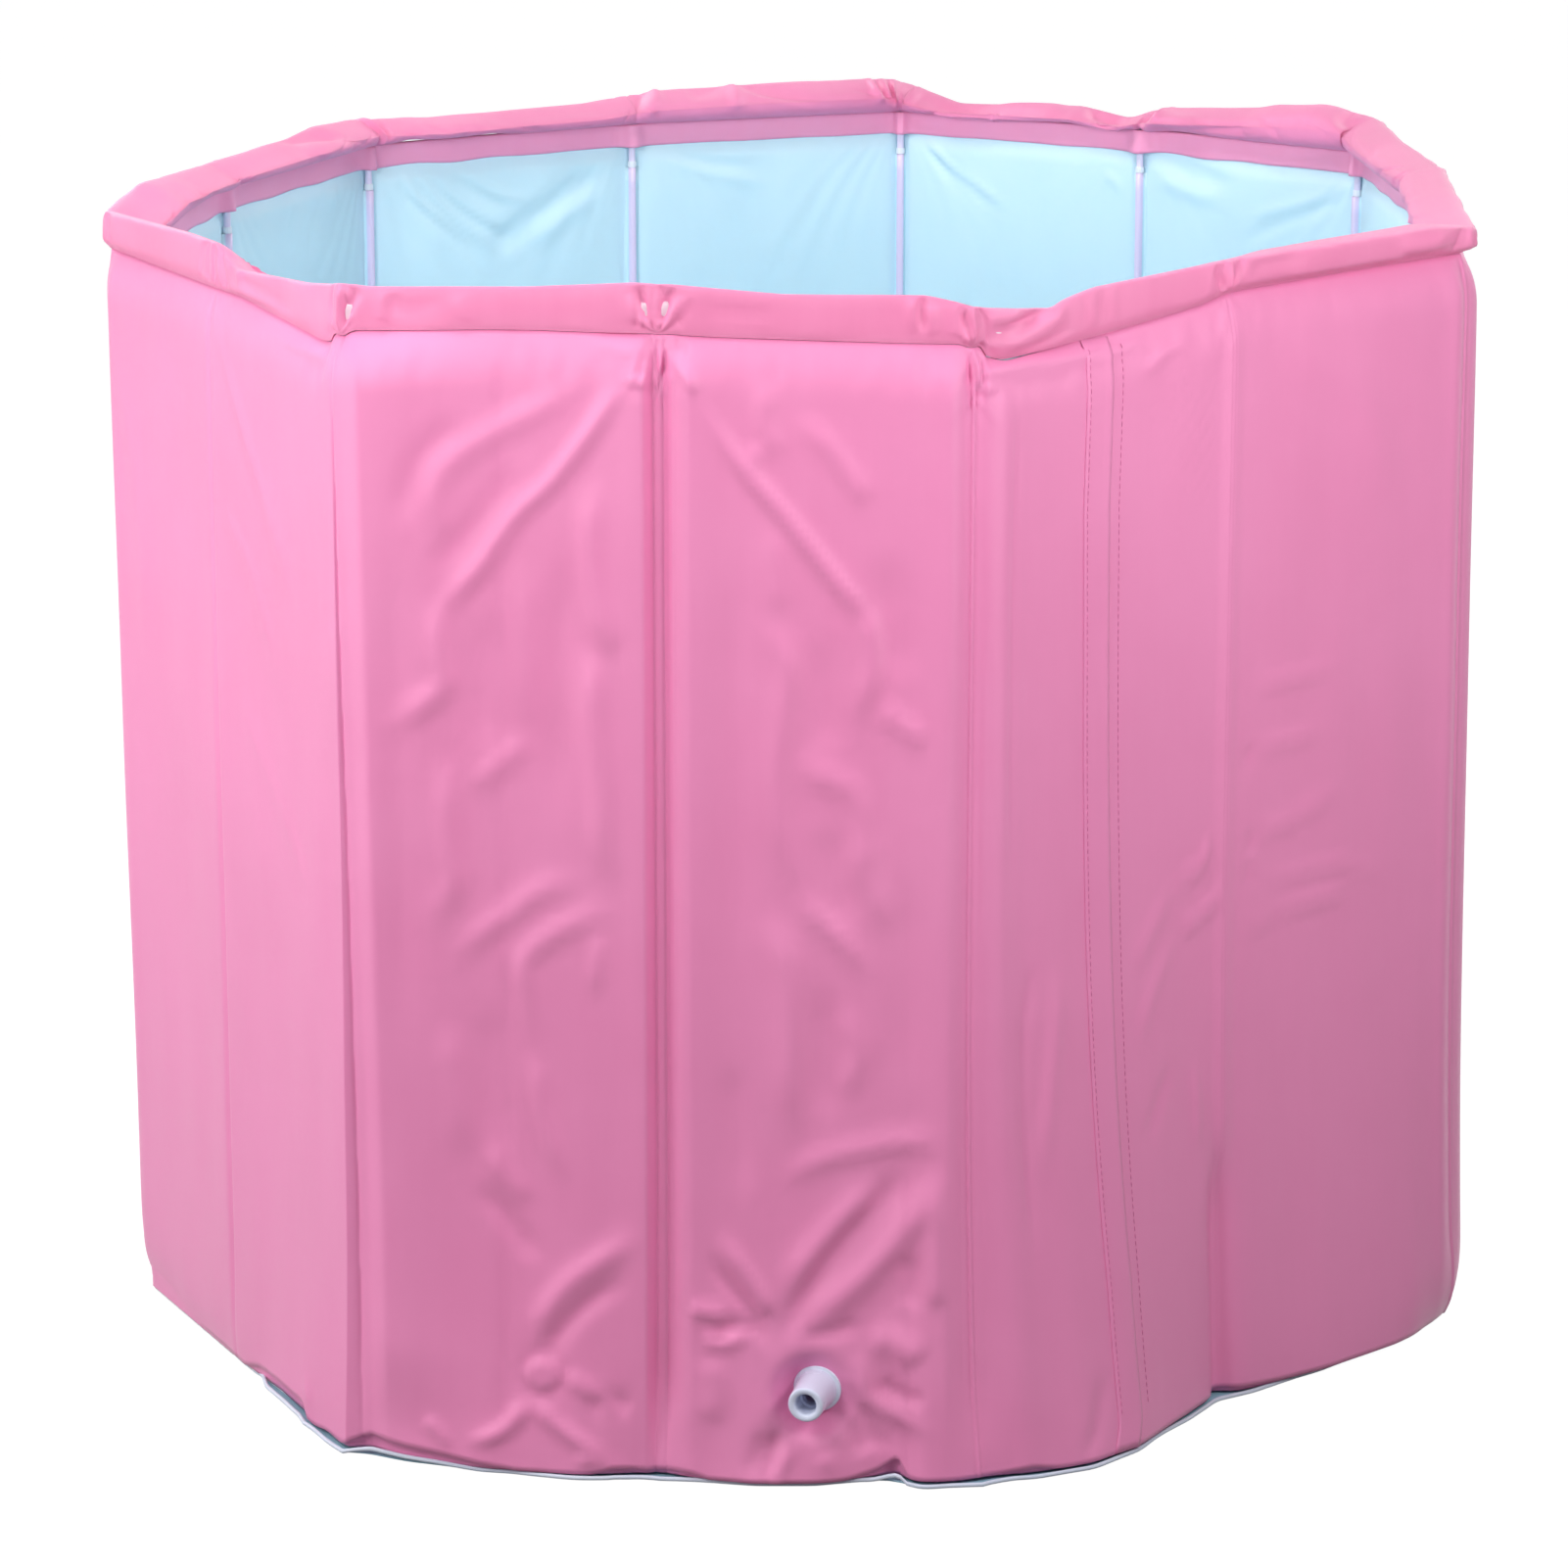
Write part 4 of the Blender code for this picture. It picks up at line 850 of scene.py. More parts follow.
def outer_face(panel, along, share):
    """Depth and height of the skin's outer face: flat wall, skirt at the hem, shoulder up to the seam."""
    hem = HEM_HEIGHT + lift_at(panel, along)
    seam = seam_at(panel, along) - SEAM_TUCK
    height = hem + (seam - hem) * share
    before = (panel == STUD_PANEL) & (along < LENGTHS[panel] / 2)
    after = (panel == STUD_PANEL - 1) & (along > LENGTHS[panel] / 2)
    wander = GROOVE_WANDER * np.clip(1 - height / WANDER_TOP, 0, 1) * (before | after)
    pit = groove(panel, along, wander)
    pit = pit * (0.35 + 0.65 * ease((height - hem) / HEM_GROOVE_FADE)) + foot_pinch(panel, along, height)
    shoulder = np.clip((height - seam) / SHOULDER_HEIGHT + 1, 0, 1)
    drawn = shoulder**2.2
    relief = skin_relief(panel, along, height) * (0.3 + 0.7 * ease((height - hem) / HEM_RELIEF_FADE))
    puff = EDGE_PUFF * np.clip(1 - pit / (3 * MM), 0, 1) + wall_puff(panel, along, height)
    depth = pit - puff - relief * (1 - 0.6 * drawn) - bulge_at(panel, along, height - hem)
    depth = flange_pull(panel, along, height, depth)
    depth = depth * (1 - drawn) + (seam_depth_at(panel, along) - relief * 0.4) * drawn
    return np.minimum(depth, board_limit(panel, along, height)), height


TINY = 1e-9


def deepest_between(shares, outer_share, depth):
    """For each inner row, the deepest that the outer face gets between the inner rows next to it."""
    reach = np.concatenate([shares[:1], shares, shares[-1:]])
    rows = [
        (outer_share <= reach[i] + TINY) & (outer_share >= reach[i + 2] - TINY)
        for i in range(len(shares))
    ]
    return np.stack([depth[row].max(axis=0) for row in rows])


UNDER_TURNS = np.linspace(math.pi / 2, 0, 7)[:-1, None]
UNDER_REACH = 1.5 * MM
UNDER_SHARE = 0.3
SKIN_CROWDING = 0.72
HEM_THREAD_SHARE = 0.02
CLOSING_THREAD_SHARE = 0.03


def turned_under(depth, height):
    """From the ground up to the hem's edge: a quarter of an ellipse, as deep as the hem is lifted."""
    reach = UNDER_REACH + UNDER_SHARE * (height - HEM_HEIGHT)
    under_depth = np.minimum(depth + reach * np.sin(UNDER_TURNS), BOARD_FACE_DEPTH - SKIN_BACK_DEPTH)
    return np.maximum(under_depth, depth), HEM_HEIGHT + (height - HEM_HEIGHT) * np.cos(UNDER_TURNS)


def build_skin():
    """Under the hem and up the outer side, then down the inner side: one closed sheet."""
    panel, along = columns(SKIN_COUNTS, SKIN_CROWDING)
    share = skin_rows()
    depth, height = outer_face(panel[None], along[None], share[:, None])
    under_depth, under_height = turned_under(depth[0], height[0])
    back = SKIN_BACK_SHARES
    back_depth = deepest_between(back, share, depth) + SKIN_BACK_DEPTH
    back_height = height[:1] + (height[-1:] - height[:1]) * back[:, None]
    inner_depth = under_depth[::-1] + SKIN_BACK_DEPTH
    depth = np.concatenate([under_depth, depth, back_depth, inner_depth])
    height = np.concatenate([under_height, height, back_height, under_height[::-1] + SKIN_BACK_DEPTH])
    points = place(panel[None], along[None], depth, height)
    under = -HEM_THREAD_SHARE * UNDER_TURNS[:, 0]
    rows = np.concatenate([under, share, back, under[::-1], [-CLOSING_THREAD_SHARE]]) * SEAM_HEIGHT
    return surface("outer_skin_cloth", points, (rows, np.append(STARTS[panel] + along, RING)))


# %% [markdown]
# The rim is a fabric tube round an air tube. Its section is a superellipse, a curve between an
# ellipse and a box, carried round the ring. Along the front its outer lower corner is square, so
# that the face stands upright on the seam. Pleats cross the tube at every corner, where the cloth
# is gathered, and a few lie between.

# %% The rim's section
RIM_COUNTS = [70, 90, 100, 100, 104, 90, 60, 60] + [110] * 5 + [70]
RIM_STEPS = 68
RIM_INNER_DEPTH = 26 * MM
BLADDER_SHARE = 0.42
BLADDER_COUNTS = [24] * PANELS
BLADDER_STEPS = 24
RIM_CROWDING = 0.45
RIM_GIRTH = 0.09
BLADDER_GIRTH = 0.06


def rim_section(turn, squareness):
    """Across and up, from the seam round the outer side: sine and cosine to the power 2 / squareness."""
    across, up = -np.sin(turn), -np.cos(turn)
    power = 2 / squareness
    return np.sign(across) * np.abs(across) ** power, np.sign(up) * np.abs(up) ** power


# %% Wrinkles of the rim's outer face
RIM_WRINKLES = (
    (1, -2.2, 2.6, ((216, 246), (222, 262), (226, 285), (230, 300))),
    (1, 1.6, 3.5, ((232, 256), (240, 275), (243, 300))),
    (1, 1.2, 3.0, ((226, 300), (250, 300), (285, 318))),
    (1, -1.2, 3.0, ((238, 285), (262, 300), (300, 322))),
    (2, -2.2, 2.5, ((350, 292), (360, 302), (352, 318), (345, 330))),
    (2, 1.6, 3.5, ((345, 292), (340, 310), (334, 330))),
    (2, -1.4, 3.0, ((330, 345), (340, 325), (338, 300))),
    (2, 1.3, 4.0, ((386, 296), (389, 318), (384, 330))),
    (2, -0.9, 4.0, ((400, 300), (398, 325))),
    (2, 0.8, 6.0, ((458, 303), (470, 318), (468, 330))),
    (2, -0.7, 4.0, ((376, 318), (420, 316), (455, 306))),
    (2, -2.2, 2.2, ((648, 292), (652, 312), (662, 333))),
    (2, 1.8, 3.0, ((640, 300), (650, 322), (660, 338))),
    (3, -2.4, 2.4, ((688, 294), (678, 315), (668, 335))),
    (3, 1.8, 3.0, ((700, 305), (685, 322), (672, 340))),
    (3, -1.6, 2.4, ((712, 308), (695, 325), (678, 338))),
    (3, -0.8, 3.0, ((720, 320), (760, 322), (800, 320))),
    (3, -2.4, 2.0, ((944, 302), (941, 320), (944, 345))),
    (3, 1.8, 3.0, ((935, 303), (932, 322), (935, 345))),
    (3, 1.2, 4.0, ((955, 310), (952, 330), (955, 348))),
    (3, -1.6, 3.0, ((985, 318), (990, 335), (997, 352))),
    (4, -3.2, 3.0, ((1008, 352), (1026, 343), (1048, 332), (1063, 325), (1078, 312))),
    (4, 2.8, 4.5, ((1030, 356), (1052, 345), (1078, 330), (1096, 308))),
    (4, -1.6, 3.0, ((1052, 362), (1076, 350), (1104, 330))),
    (4, 2.0, 4.0, ((1010, 325), (1030, 326), (1055, 320))),
    (4, 1.2, 2.0, ((1118, 298), (1120, 318), (1122, 336))),
    (4, -1.0, 1.6, ((1127, 296), (1129, 318), (1131, 334))),
    (4, 1.0, 2.0, ((1139, 290), (1141, 310), (1142, 330))),
    (4, -1.8, 2.4, ((1244, 268), (1248, 285), (1252, 302))),
    (5, 1.4, 3.0, ((1256, 266), (1258, 282), (1256, 300))),
    (5, -0.9, 4.0, ((1266, 280), (1300, 268), (1340, 262))),
    (5, -2.6, 2.6, ((1422, 262), (1450, 262), (1492, 248))),
    (5, 2.0, 4.0, ((1420, 252), (1450, 250), (1480, 240))),
)


# %% Folds of the far rim, on the side that faces the bath
FAR_FOLD_DEPTH = 16 * MM
FAR_FOLD_SCALE = 1.6
FAR_RIM_WRINKLES = (
    (11, -3.0, 2.4, ((365, 122), (369, 134), (362, 146), (350, 150))),
    (11, 2.4, 3.0, ((374, 122), (378, 136), (368, 148))),
    (11, -2.2, 2.2, ((386, 122), (392, 134), (384, 142))),
    (11, 1.6, 5.0, ((400, 128), (450, 132), (520, 124))),
    (11, -1.8, 3.0, ((390, 143), (430, 146), (475, 142), (540, 131))),
    (10, -1.8, 2.6, ((671, 88), (658, 98), (638, 114))),
    (10, 1.6, 3.4, ((680, 92), (668, 104), (652, 116))),
    (10, -2.0, 3.0, ((755, 83), (772, 90), (800, 96), (836, 100))),
    (10, 1.6, 3.6, ((757, 88), (751, 98), (741, 110))),
    (10, -1.4, 3.0, ((700, 96), (722, 94), (748, 86))),
    (10, -3.0, 2.0, ((904, 80), (899, 88), (905, 97), (913, 105))),
    (10, 2.0, 2.4, ((896, 82), (893, 92), (898, 104))),
    (10, -3.2, 2.0, ((916, 80), (911, 92), (917, 106))),
    (9, 1.2, 3.0, ((925, 92), (930, 98), (938, 106))),
    (9, 2.0, 4.0, ((924, 84), (950, 94), (983, 107))),
    (9, -2.2, 2.6, ((940, 112), (977, 112), (1014, 115), (1063, 120), (1106, 124), (1146, 132))),
    (9, 1.6, 3.6, ((990, 108), (1050, 112), (1090, 116))),
    (9, -1.6, 2.2, ((1014, 112), (1017, 122), (1014, 132))),
    (9, -2.8, 2.4, ((1101, 111), (1122, 120), (1148, 129))),
    (9, 1.8, 3.0, ((1110, 112), (1130, 116), (1150, 124))),
    (8, -3.2, 2.4, ((1187, 109), (1171, 121), (1156, 133))),
    (8, 1.2, 3.0, ((1190, 116), (1182, 124), (1168, 134))),
    (8, 2.2, 3.6, ((1172, 112), (1196, 122), (1236, 126))),
    (8, -1.8, 4.0, ((1176, 126), (1220, 132), (1300, 128))),
    (8, 1.6, 4.0, ((1270, 112), (1320, 116), (1364, 112))),
    (8, -2.2, 3.0, ((1364, 112), (1376, 124), (1400, 134))),
    (12, -2.0, 3.0, ((300, 146), (325, 140), (350, 138))),
    (12, 1.8, 4.0, ((302, 158), (330, 150), (356, 146))),
    (13, 1.4, 5.0, ((158, 190), (180, 196), (205, 190))),
    (13, -1.2, 5.0, ((170, 204), (200, 204), (228, 190))),
)


# %% Pleats across the rim
def pleat_table():
    """A gathered set at every corner and a few between: station, depth, width, lean and deepest turn."""
    random = np.random.default_rng(33)
    table = []
    for corner in range(PANELS):
        for offset in (-12, -8, -4.5, -1.5, 1.5, 4.5, 8, 12):
            depth = random.uniform(0.8, 2.4) * random.choice([1, 1, -0.5])
            station = STARTS[corner] + (offset + random.uniform(-1, 1)) * MM
            lean = -0.45 * offset + random.uniform(-3, 3)
            width = random.uniform(0.9, 2.0)
            table.append((station, depth, width, lean, math.radians(random.uniform(60, 140))))
            table.append((station, 0.9 * depth, width, -lean, math.radians(random.uniform(230, 310))))
        for _ in range(5):
            station = STARTS[corner] + random.uniform(0.12, 0.88) * LENGTHS[corner]
            turn = math.radians(random.uniform(190, 320))
            depth, width = random.uniform(0.6, 2.0), random.uniform(1.5, 4)
            table.append((station, depth, width, random.uniform(-26, 26), turn))
    return table


def pleats(station, turn):
    """Each pleat is a sharp valley across its own slanting line, and fades round the tube."""
    total = np.zeros(np.broadcast(station, turn).shape)
    for middle, depth, width, lean, deepest in pleat_table():
        swing = (turn - deepest + math.pi) % math.tau - math.pi
        offset = (station - middle + RING / 2) % RING - RING / 2 - lean * MM * swing
        valley = np.exp(-np.sqrt(offset**2 + (0.35 * MM) ** 2) / (width * MM))
        total += depth * MM * valley * bell(swing, 0.95)
    return total


# %% The rim's surface
LOOSE_SHARES = ((4, 0.9, 0.0), (5, 0.2, 1.0), (6, 0.0, 1.0), (7, 0.5, 0.3), (9, 0.0, 0.2),
                (13, 0.0, 0.0), (0, 0.0, 0.0))
BLADE_SHARES = ((13, 0.6, 1.0), (4, 0.6, 1.0), (5, 0.3, 0.15), (6, 0.0, 0.4), (7, 0.0, 0.0), (12, 0.6, 0.0))
LOOSE_KNOTS = knots_of(LOOSE_SHARES, 1.0)
BLADE_KNOTS = knots_of(BLADE_SHARES, 1.0)


def rim_shape(panel, along, turn):
    """Superellipse from the seam to the crest, squarer where its face is upright, with pleats and folds."""
    panel, along, turn = np.broadcast_arrays(panel, along, turn)
    station = STARTS[panel] + along
    distance, corner = corner_of(panel, along)
    loose = level_round(LOOSE_KNOTS, panel, along, 20 * MM)
    outer_low, outer_high = bell(turn - math.radians(42), 0.7), bell(turn - math.radians(135), 0.6)
    blade = level_round(BLADE_KNOTS, panel, along, 20 * MM)
    across, up = rim_section(turn, 2.6 + (4.0 - 3.4 * loose) * outer_low + (1.2 + 2.8 * blade) * outer_high)
    seam, crest = seam_at(panel, along), crest_at(panel, along)
    face = face_depth_at(panel, along)
    middle, half_width = (RIM_INNER_DEPTH + face) / 2, (RIM_INNER_DEPTH - face) / 2
    gather = bell(distance, 10 * MM)
    half_width = half_width * (1 - 0.14 * gather * (across > 0))
    half_height = (crest - seam) / 2
    folds = pleats(station, turn) + 0.3 * MM * waves(station, turn * 14 * MM, 29, 16, 0.05, 0.055)
    shrink = folds * ease(1.2 - np.abs(up) ** 6)
    depth = middle + across * (half_width - shrink)
    height = (seam + crest) / 2 + up * (half_height - 0.5 * shrink * (up > -0.6))
    lean = (5.5 + 4.5 * blade) * (1 - 0.7 * loose) * MM
    height = height - lean * ease((across + 0.9) / 1.6) * ease((up + 0.2) / 0.9)
    outer = (across < 0) * ease(-across / 0.5)
    star = pucker(distance, height - seam, 7, 12 * MM, PUCKER_TURNS[corner])
    relief = strokes_on(panel, along, height, RIM_WRINKLES) + 1.1 * MM * PUCKER_SIZES[corner] * star
    depth = depth - relief * outer
    facing = ease((0.75 - np.sin(turn)) / 0.5)
    folded = FAR_FOLD_SCALE * facing * strokes_on(panel, along, height, FAR_RIM_WRINKLES, FAR_FOLD_DEPTH)
    depth, height = depth - folded * np.sin(turn), height - folded * np.cos(turn)
    drawn = np.clip(-up - 0.5, 0, 1) / 0.5
    return depth + (seam_depth_at(panel, along) - 0.8 * MM - depth) * drawn**1.5 * (across < 0.35), height


def build_rim(name, counts, steps):
    """The section's turns are the rows and the ring's stations the columns, closed both ways."""
    panel, along = columns(counts, RIM_CROWDING)
    turn = np.arange(steps) / steps * math.tau
    depth, height = rim_shape(panel[None], along[None], turn[:, None])
    points = place(panel[None], along[None], depth, height)
    girth = np.linspace(0, RIM_GIRTH, steps + 1)
    return surface(name, points, (girth, np.append(STARTS[panel] + along, RING)))


def build_bladder(name, counts, steps, share):
    """Midway between the cover's two sides at each place across, drawn in to a share both ways."""
    panel, along = columns(counts, RIM_CROWDING)
    turn = np.arange(steps) / steps * math.tau
    side = np.arcsin(share * np.sin(turn))[:, None]
    lower = np.stack(rim_shape(panel[None], along[None], side))
    upper = np.stack(rim_shape(panel[None], along[None], math.pi - side))
    depth, height = (upper + lower) / 2 + share * np.cos(turn)[:, None] * (lower - upper) / 2
    points = place(panel[None], along[None], depth, height)
    girth = np.linspace(0, BLADDER_GIRTH, steps + 1)
    return surface(name, points, (girth, np.append(STARTS[panel] + along, RING)))


# %% [markdown]
# Inside, a pink band hangs from the seam over the liner and the head of each pole. The liner is a
# waterproof bag: a wall that leans on the boards, with fans of small wrinkles under the band, and
# a floor on a foam pad. Film strips hold the poles to it.

# %% The inside band
BAND_COUNTS = [40] * PANELS
BAND_ROWS = 10
BAND_CROWDING = 0.8
POLE_REACH = 2.8 * MM
POLE_BULGE_WIDTH = 7.5 * MM
BAND_THICKNESS = 0.8 * MM
BAND_DROP = SEAM_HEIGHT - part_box("inner_band")[0].z
LINER_FACE_DEPTH = 10.6 * MM


def strip_over_poles(panel, along, clearance):
    """Depth of a sheet that lies on the liner and bulges over the pole at each corner."""
    distance, _ = corner_of(panel, along)
    reach = POLE_DEPTH + POLE_REACH + clearance - LINER_FACE_DEPTH
    return LINER_FACE_DEPTH + clearance + (reach - clearance) * bell(distance, POLE_BULGE_WIDTH)


def build_band():
    """Outer face up and inner face down; it bulges over the head of each pole."""
    panel, along = columns(BAND_COUNTS, BAND_CROWDING)
    distance, _ = corner_of(panel, along)
    seam = seam_at(panel, along)
    station = STARTS[panel] + along
    bottom = seam - BAND_DROP + 0.5 * MM * waves(station, 0, 3, 9, 1.0, 0.07)
    share = np.linspace(0, 1, BAND_ROWS)[:, None]
    height = bottom + (seam - bottom) * share
    rise = 0.35 * MM * waves(station[None], height, 14, 12, 0.03, 0.05)
    outer = strip_over_poles(panel, along, 0.35 * MM)[None] + np.maximum(rise, -0.1 * MM)
    flare = 1.6 * MM * bell(distance, 9 * MM) * (1 - share)
    depth = np.concatenate([outer, outer[::-1] + BAND_THICKNESS]) + np.concatenate([flare, flare[::-1]])
    height = np.concatenate([height, height[::-1]])
    points = place(panel[None], along[None], depth, height)
    rows = np.concatenate([share[:, 0], 2 - share[::-1, 0], [2.1]]) * BAND_DROP
    return surface("inner_band_cloth", points, (rows, np.append(station, RING)))


# %% The liner's wall
LINER_COUNTS = [30] * 8 + [92] * 5 + [40]
LINER_ROWS = 106
LINER_SLACK = 2.2 * MM
LINER_FOLD_SCALE = 1.9
LINER_BACK_ROWS = 5
LINER_BACK_DEPTH = 9.6 * MM
LINER_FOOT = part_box("liner_floor")[0].z
LINER_CROWDING = 0.55
FAN_LINES = 9
FAN_TOP = 0.640
FAN_REACH = 0.19
FAN_FADE = 0.12


def liner_fans(panel, along, height):
    """Fans of thin folds that spread from each top corner down into the panels on both sides."""
    distance, corner = corner_of(panel, along)
    random = np.random.default_rng(41)
    angle, size = random.uniform(0.4, 0.75, PANELS), random.uniform(0.5, 1.1, PANELS)
    up = height - FAN_TOP
    reach = np.hypot(distance, up)
    turn = np.arctan2(np.abs(distance), -up)
    folds = np.cos((turn - angle[corner]) * math.tau * FAN_LINES / 1.5 + 3 * np.sin(reach * 25 + corner))
    window = np.exp(-(((turn - angle[corner]) / 0.30) ** 2)) * ease((reach - 15 * MM) / (40 * MM))
    return 0.25 * MM * size[corner] * folds * window * ease((FAN_REACH - reach) / FAN_FADE)


LINER_WRINKLES = (
    (11, -0.9, 2.4, ((401, 170), (419, 205), (461, 239), (495, 271))),
    (11, 0.8, 2.7, ((407, 170), (425, 203), (466, 236), (500, 268))),
    (11, -0.9, 2.4, ((415, 170), (438, 205), (474, 239), (507, 269))),
    (11, 0.7, 2.4, ((421, 170), (444, 203), (480, 236), (512, 266))),
    (11, -0.8, 2.4, ((429, 170), (461, 209), (500, 232), (541, 246))),
    (11, 0.6, 2.4, ((435, 168), (466, 205), (505, 229), (546, 242))),
    (11, -0.6, 2.7, ((455, 172), (490, 200), (530, 215))),
    (11, 0.5, 2.7, ((470, 172), (505, 196), (545, 205))),
    (11, -0.5, 3.0, ((395, 190), (412, 230), (430, 262))),
    (11, -1.5, 7.0, ((626, 166), (575, 200), (525, 237), (495, 251))),
    (11, 1.0, 7.0, ((610, 190), (570, 222), (535, 250))),
    (10, -0.6, 3.8, ((668, 150), (720, 165), (780, 170))),
    (10, 0.5, 3.0, ((672, 160), (730, 178), (800, 190))),
    (9, -0.7, 2.4, ((933, 134), (960, 165), (1000, 198), (1038, 223))),
    (9, 0.6, 2.4, ((939, 132), (966, 163), (1006, 195), (1044, 219))),
    (9, -0.5, 2.4, ((948, 150), (975, 185), (1000, 215))),
    (9, -0.7, 2.4, ((1070, 138), (1117, 147), (1155, 160))),
    (9, 0.5, 2.4, ((1060, 146), (1110, 155), (1150, 168))),
    (9, 0.6, 3.0, ((1125, 175), (1140, 185), (1150, 200))),
    (8, -1.4, 6.0, ((1168, 160), (1193, 162), (1232, 180), (1270, 190))),
    (8, 0.9, 5.0, ((1180, 178), (1215, 195), (1250, 205))),
    (8, -0.7, 3.0, ((1385, 198), (1345, 215), (1300, 232), (1265, 250))),
    (8, 0.6, 3.0, ((1360, 195), (1320, 210), (1270, 222))),
    (12, -0.5, 3.8, ((330, 190), (318, 225), (312, 262))),
    (12, -0.5, 3.8, ((300, 200), (292, 235), (290, 270))),
    (12, 0.5, 3.8, ((340, 185), (338, 200), (336, 215))),
)


def build_liner():
    """The bath side is fine and wrinkled towards the bath only; the back face is plain."""
    panel, along = columns(LINER_COUNTS, LINER_CROWDING)
    station = STARTS[panel] + along
    top = seam_at(panel, along) - 0.5 * MM
    share = 1 - np.linspace(0, 1, LINER_ROWS)[:, None] ** 1.8
    height = LINER_FOOT + (top - LINER_FOOT) * share
    relief = liner_fans(panel[None], along[None], height)
    relief = relief + 0.2 * MM * waves(station[None], height, 19, 24, 0.12, 0.05)
    panels, places = np.broadcast_to(panel, height.shape), np.broadcast_to(along, height.shape)
    relief += LINER_FOLD_SCALE * strokes_on(panels, places, height, LINER_WRINKLES, LINER_FACE_DEPTH)
    distance, _ = corner_of(panel, along)
    free = (1 - bell(distance, 9 * MM)) * ease((top - BAND_DROP - height + 2 * MM) / (12 * MM))
    depth = LINER_FACE_DEPTH + np.maximum(relief + LINER_SLACK, 0) * free
    back = np.linspace(0, 1, LINER_BACK_ROWS)[:, None]
    back_height = LINER_FOOT + (top - LINER_FOOT) * back
    depth = np.concatenate([np.full_like(back_height, LINER_BACK_DEPTH), depth])
    height = np.concatenate([back_height, height])
    points = place(panel[None], along[None], depth, height)
    rows = np.concatenate([back[:, 0], 2 - share[:, 0], [2.0]]) * SEAM_HEIGHT
    return surface("liner_wall_cloth", points, (rows, np.append(station, RING)))


# %% Flat discs: liner floor, foam pad and base sheet
DISC_COUNTS = [30] * PANELS
DISC_CROWDING = 0.5
DISC_GIRTH = 0.8


def disc(name, edge_depth, low, high, relief, rounding):
    """Rings that shrink towards the middle, top then underneath, closed by small caps."""
    panel, along = columns(DISC_COUNTS, DISC_CROWDING)
    edge = place(panel, along, np.broadcast_to(edge_depth, along.shape), np.zeros(len(along)))[:, :2]
    shares = np.array([0.004, 0.12, 0.24, 0.36, 0.48, 0.58, 0.68, 0.76, 0.83, 0.89, 0.94, 0.975, 0.995])
    inner = shares[:, None, None] * edge
    lift = relief(inner[..., 0], inner[..., 1]) * ease((1 - shares) / 0.05)[:, None]
    steps = np.linspace(0, math.pi, 5)
    middle, half = (low + high) / 2, (high - low) / 2
    outward = unit(edge) * (rounding * (np.sin(steps) - 1))[:, None, None]
    side = edge + outward
    side_height = np.broadcast_to((middle - half * np.cos(steps))[:, None], side.shape[:2])
    plan = np.concatenate([inner, side, inner[::-1]])
    levels = np.concatenate([np.full(inner.shape[:2], low), side_height, (high + lift)[::-1]])
    points = np.concatenate([plan, levels[..., None]], axis=-1)
    girth = np.linspace(0, DISC_GIRTH, len(points) + 1)
    threads = (girth, np.append(STARTS[panel] + along, RING))
    return surface(name, points, threads, closed=False, capped=True)


def floor_relief(x, y):
    """Slow swells and a few finer creases that cross the floor."""
    slow = np.cos(9 * x + 4 * y) + np.cos(5 * x - 11 * y + 1)
    fine = np.exp(-(np.sin(21 * x + 9 * y + 2 * np.sin(6 * y)) ** 2) / 0.02)
    return 0.5 * MM * slow + 0.7 * MM * fine + 1.0 * MM


def no_relief(x, y):
    return np.zeros_like(x)


# %% [markdown]
# The pole sleeves are thin film: flat on the liner at both sides, with an arch over the pole. One
# section is carried up the wall, and the film is let wander a little so that it catches light.

# %% Pole sleeves
FILM_THICKNESS = 0.22 * MM
FILM_MIDDLE = 12 * MM
FILM_HALF_MM = np.array([4.4, 3.9, 3.4, 2.9, 2.5, 2.25, 2.15, 1.75, 1.05, 0.0])
FILM_LIFT_MM = np.array([0.0, 0.0, 0.05, 0.15, 0.6, 1.8, 3.0, 4.3, 5.0, 5.2])
FILM_ROWS = 60


def build_sleeve(corner):
    """The film's line over the pole, given a thickness, climbs from the floor to under the pole's ring."""
    low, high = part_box(f"pole_sleeve_{corner + 1:02d}")
    across = np.concatenate([-FILM_HALF_MM, FILM_HALF_MM[-2::-1]]) * MM
    lift = np.concatenate([FILM_LIFT_MM, FILM_LIFT_MM[-2::-1]]) * MM
    height = np.linspace(low.z, high.z, FILM_ROWS)[:, None]
    sway = 0.35 * MM * np.sin(height * 31 + corner) + 0.25 * MM * np.sin(height * 77 + 2 * corner)
    flange = 0.12 * MM * np.sin(height * 140 + 3 * corner) * (np.abs(across) > 3.6 * MM)
    spread = across + sway * (np.abs(across) > 3 * MM)
    depth = LINER_FACE_DEPTH + 0.35 * MM + lift + np.abs(flange)
    outer = np.stack(np.broadcast_arrays(spread, depth, height), axis=-1)
    inner = outer + np.array([0, FILM_THICKNESS, 0])
    section = np.concatenate([outer, inner[:, ::-1]], axis=1)
    direction = unit(ALONG[corner - 1] + ALONG[corner])
    plan = CORNERS[corner] + section[..., :1] * direction + section[..., 1:2] * MITRE[corner]
    bend = np.abs(section[..., 0]) * np.linalg.norm(ALONG[corner] - ALONG[corner - 1]) / 2
    plan = plan + unit(MITRE[corner]) * bend[..., None]
    points = np.concatenate([plan, section[..., 2:]], axis=-1)
    width = np.linspace(0, 2 * FILM_MIDDLE, len(across))
    threads = (height[:, 0], np.concatenate([width, width[::-1], [0.0]]))
    return surface(f"pole_sleeve_film_{corner + 1:02d}", points, threads, closed=False, capped=True)


# %% [markdown]
# Under the wall the base sheet peeps out, with a pale piping sewn round its edge. The piping is a
# round cord in cloth: a circle carried along the edge's own wavy line.

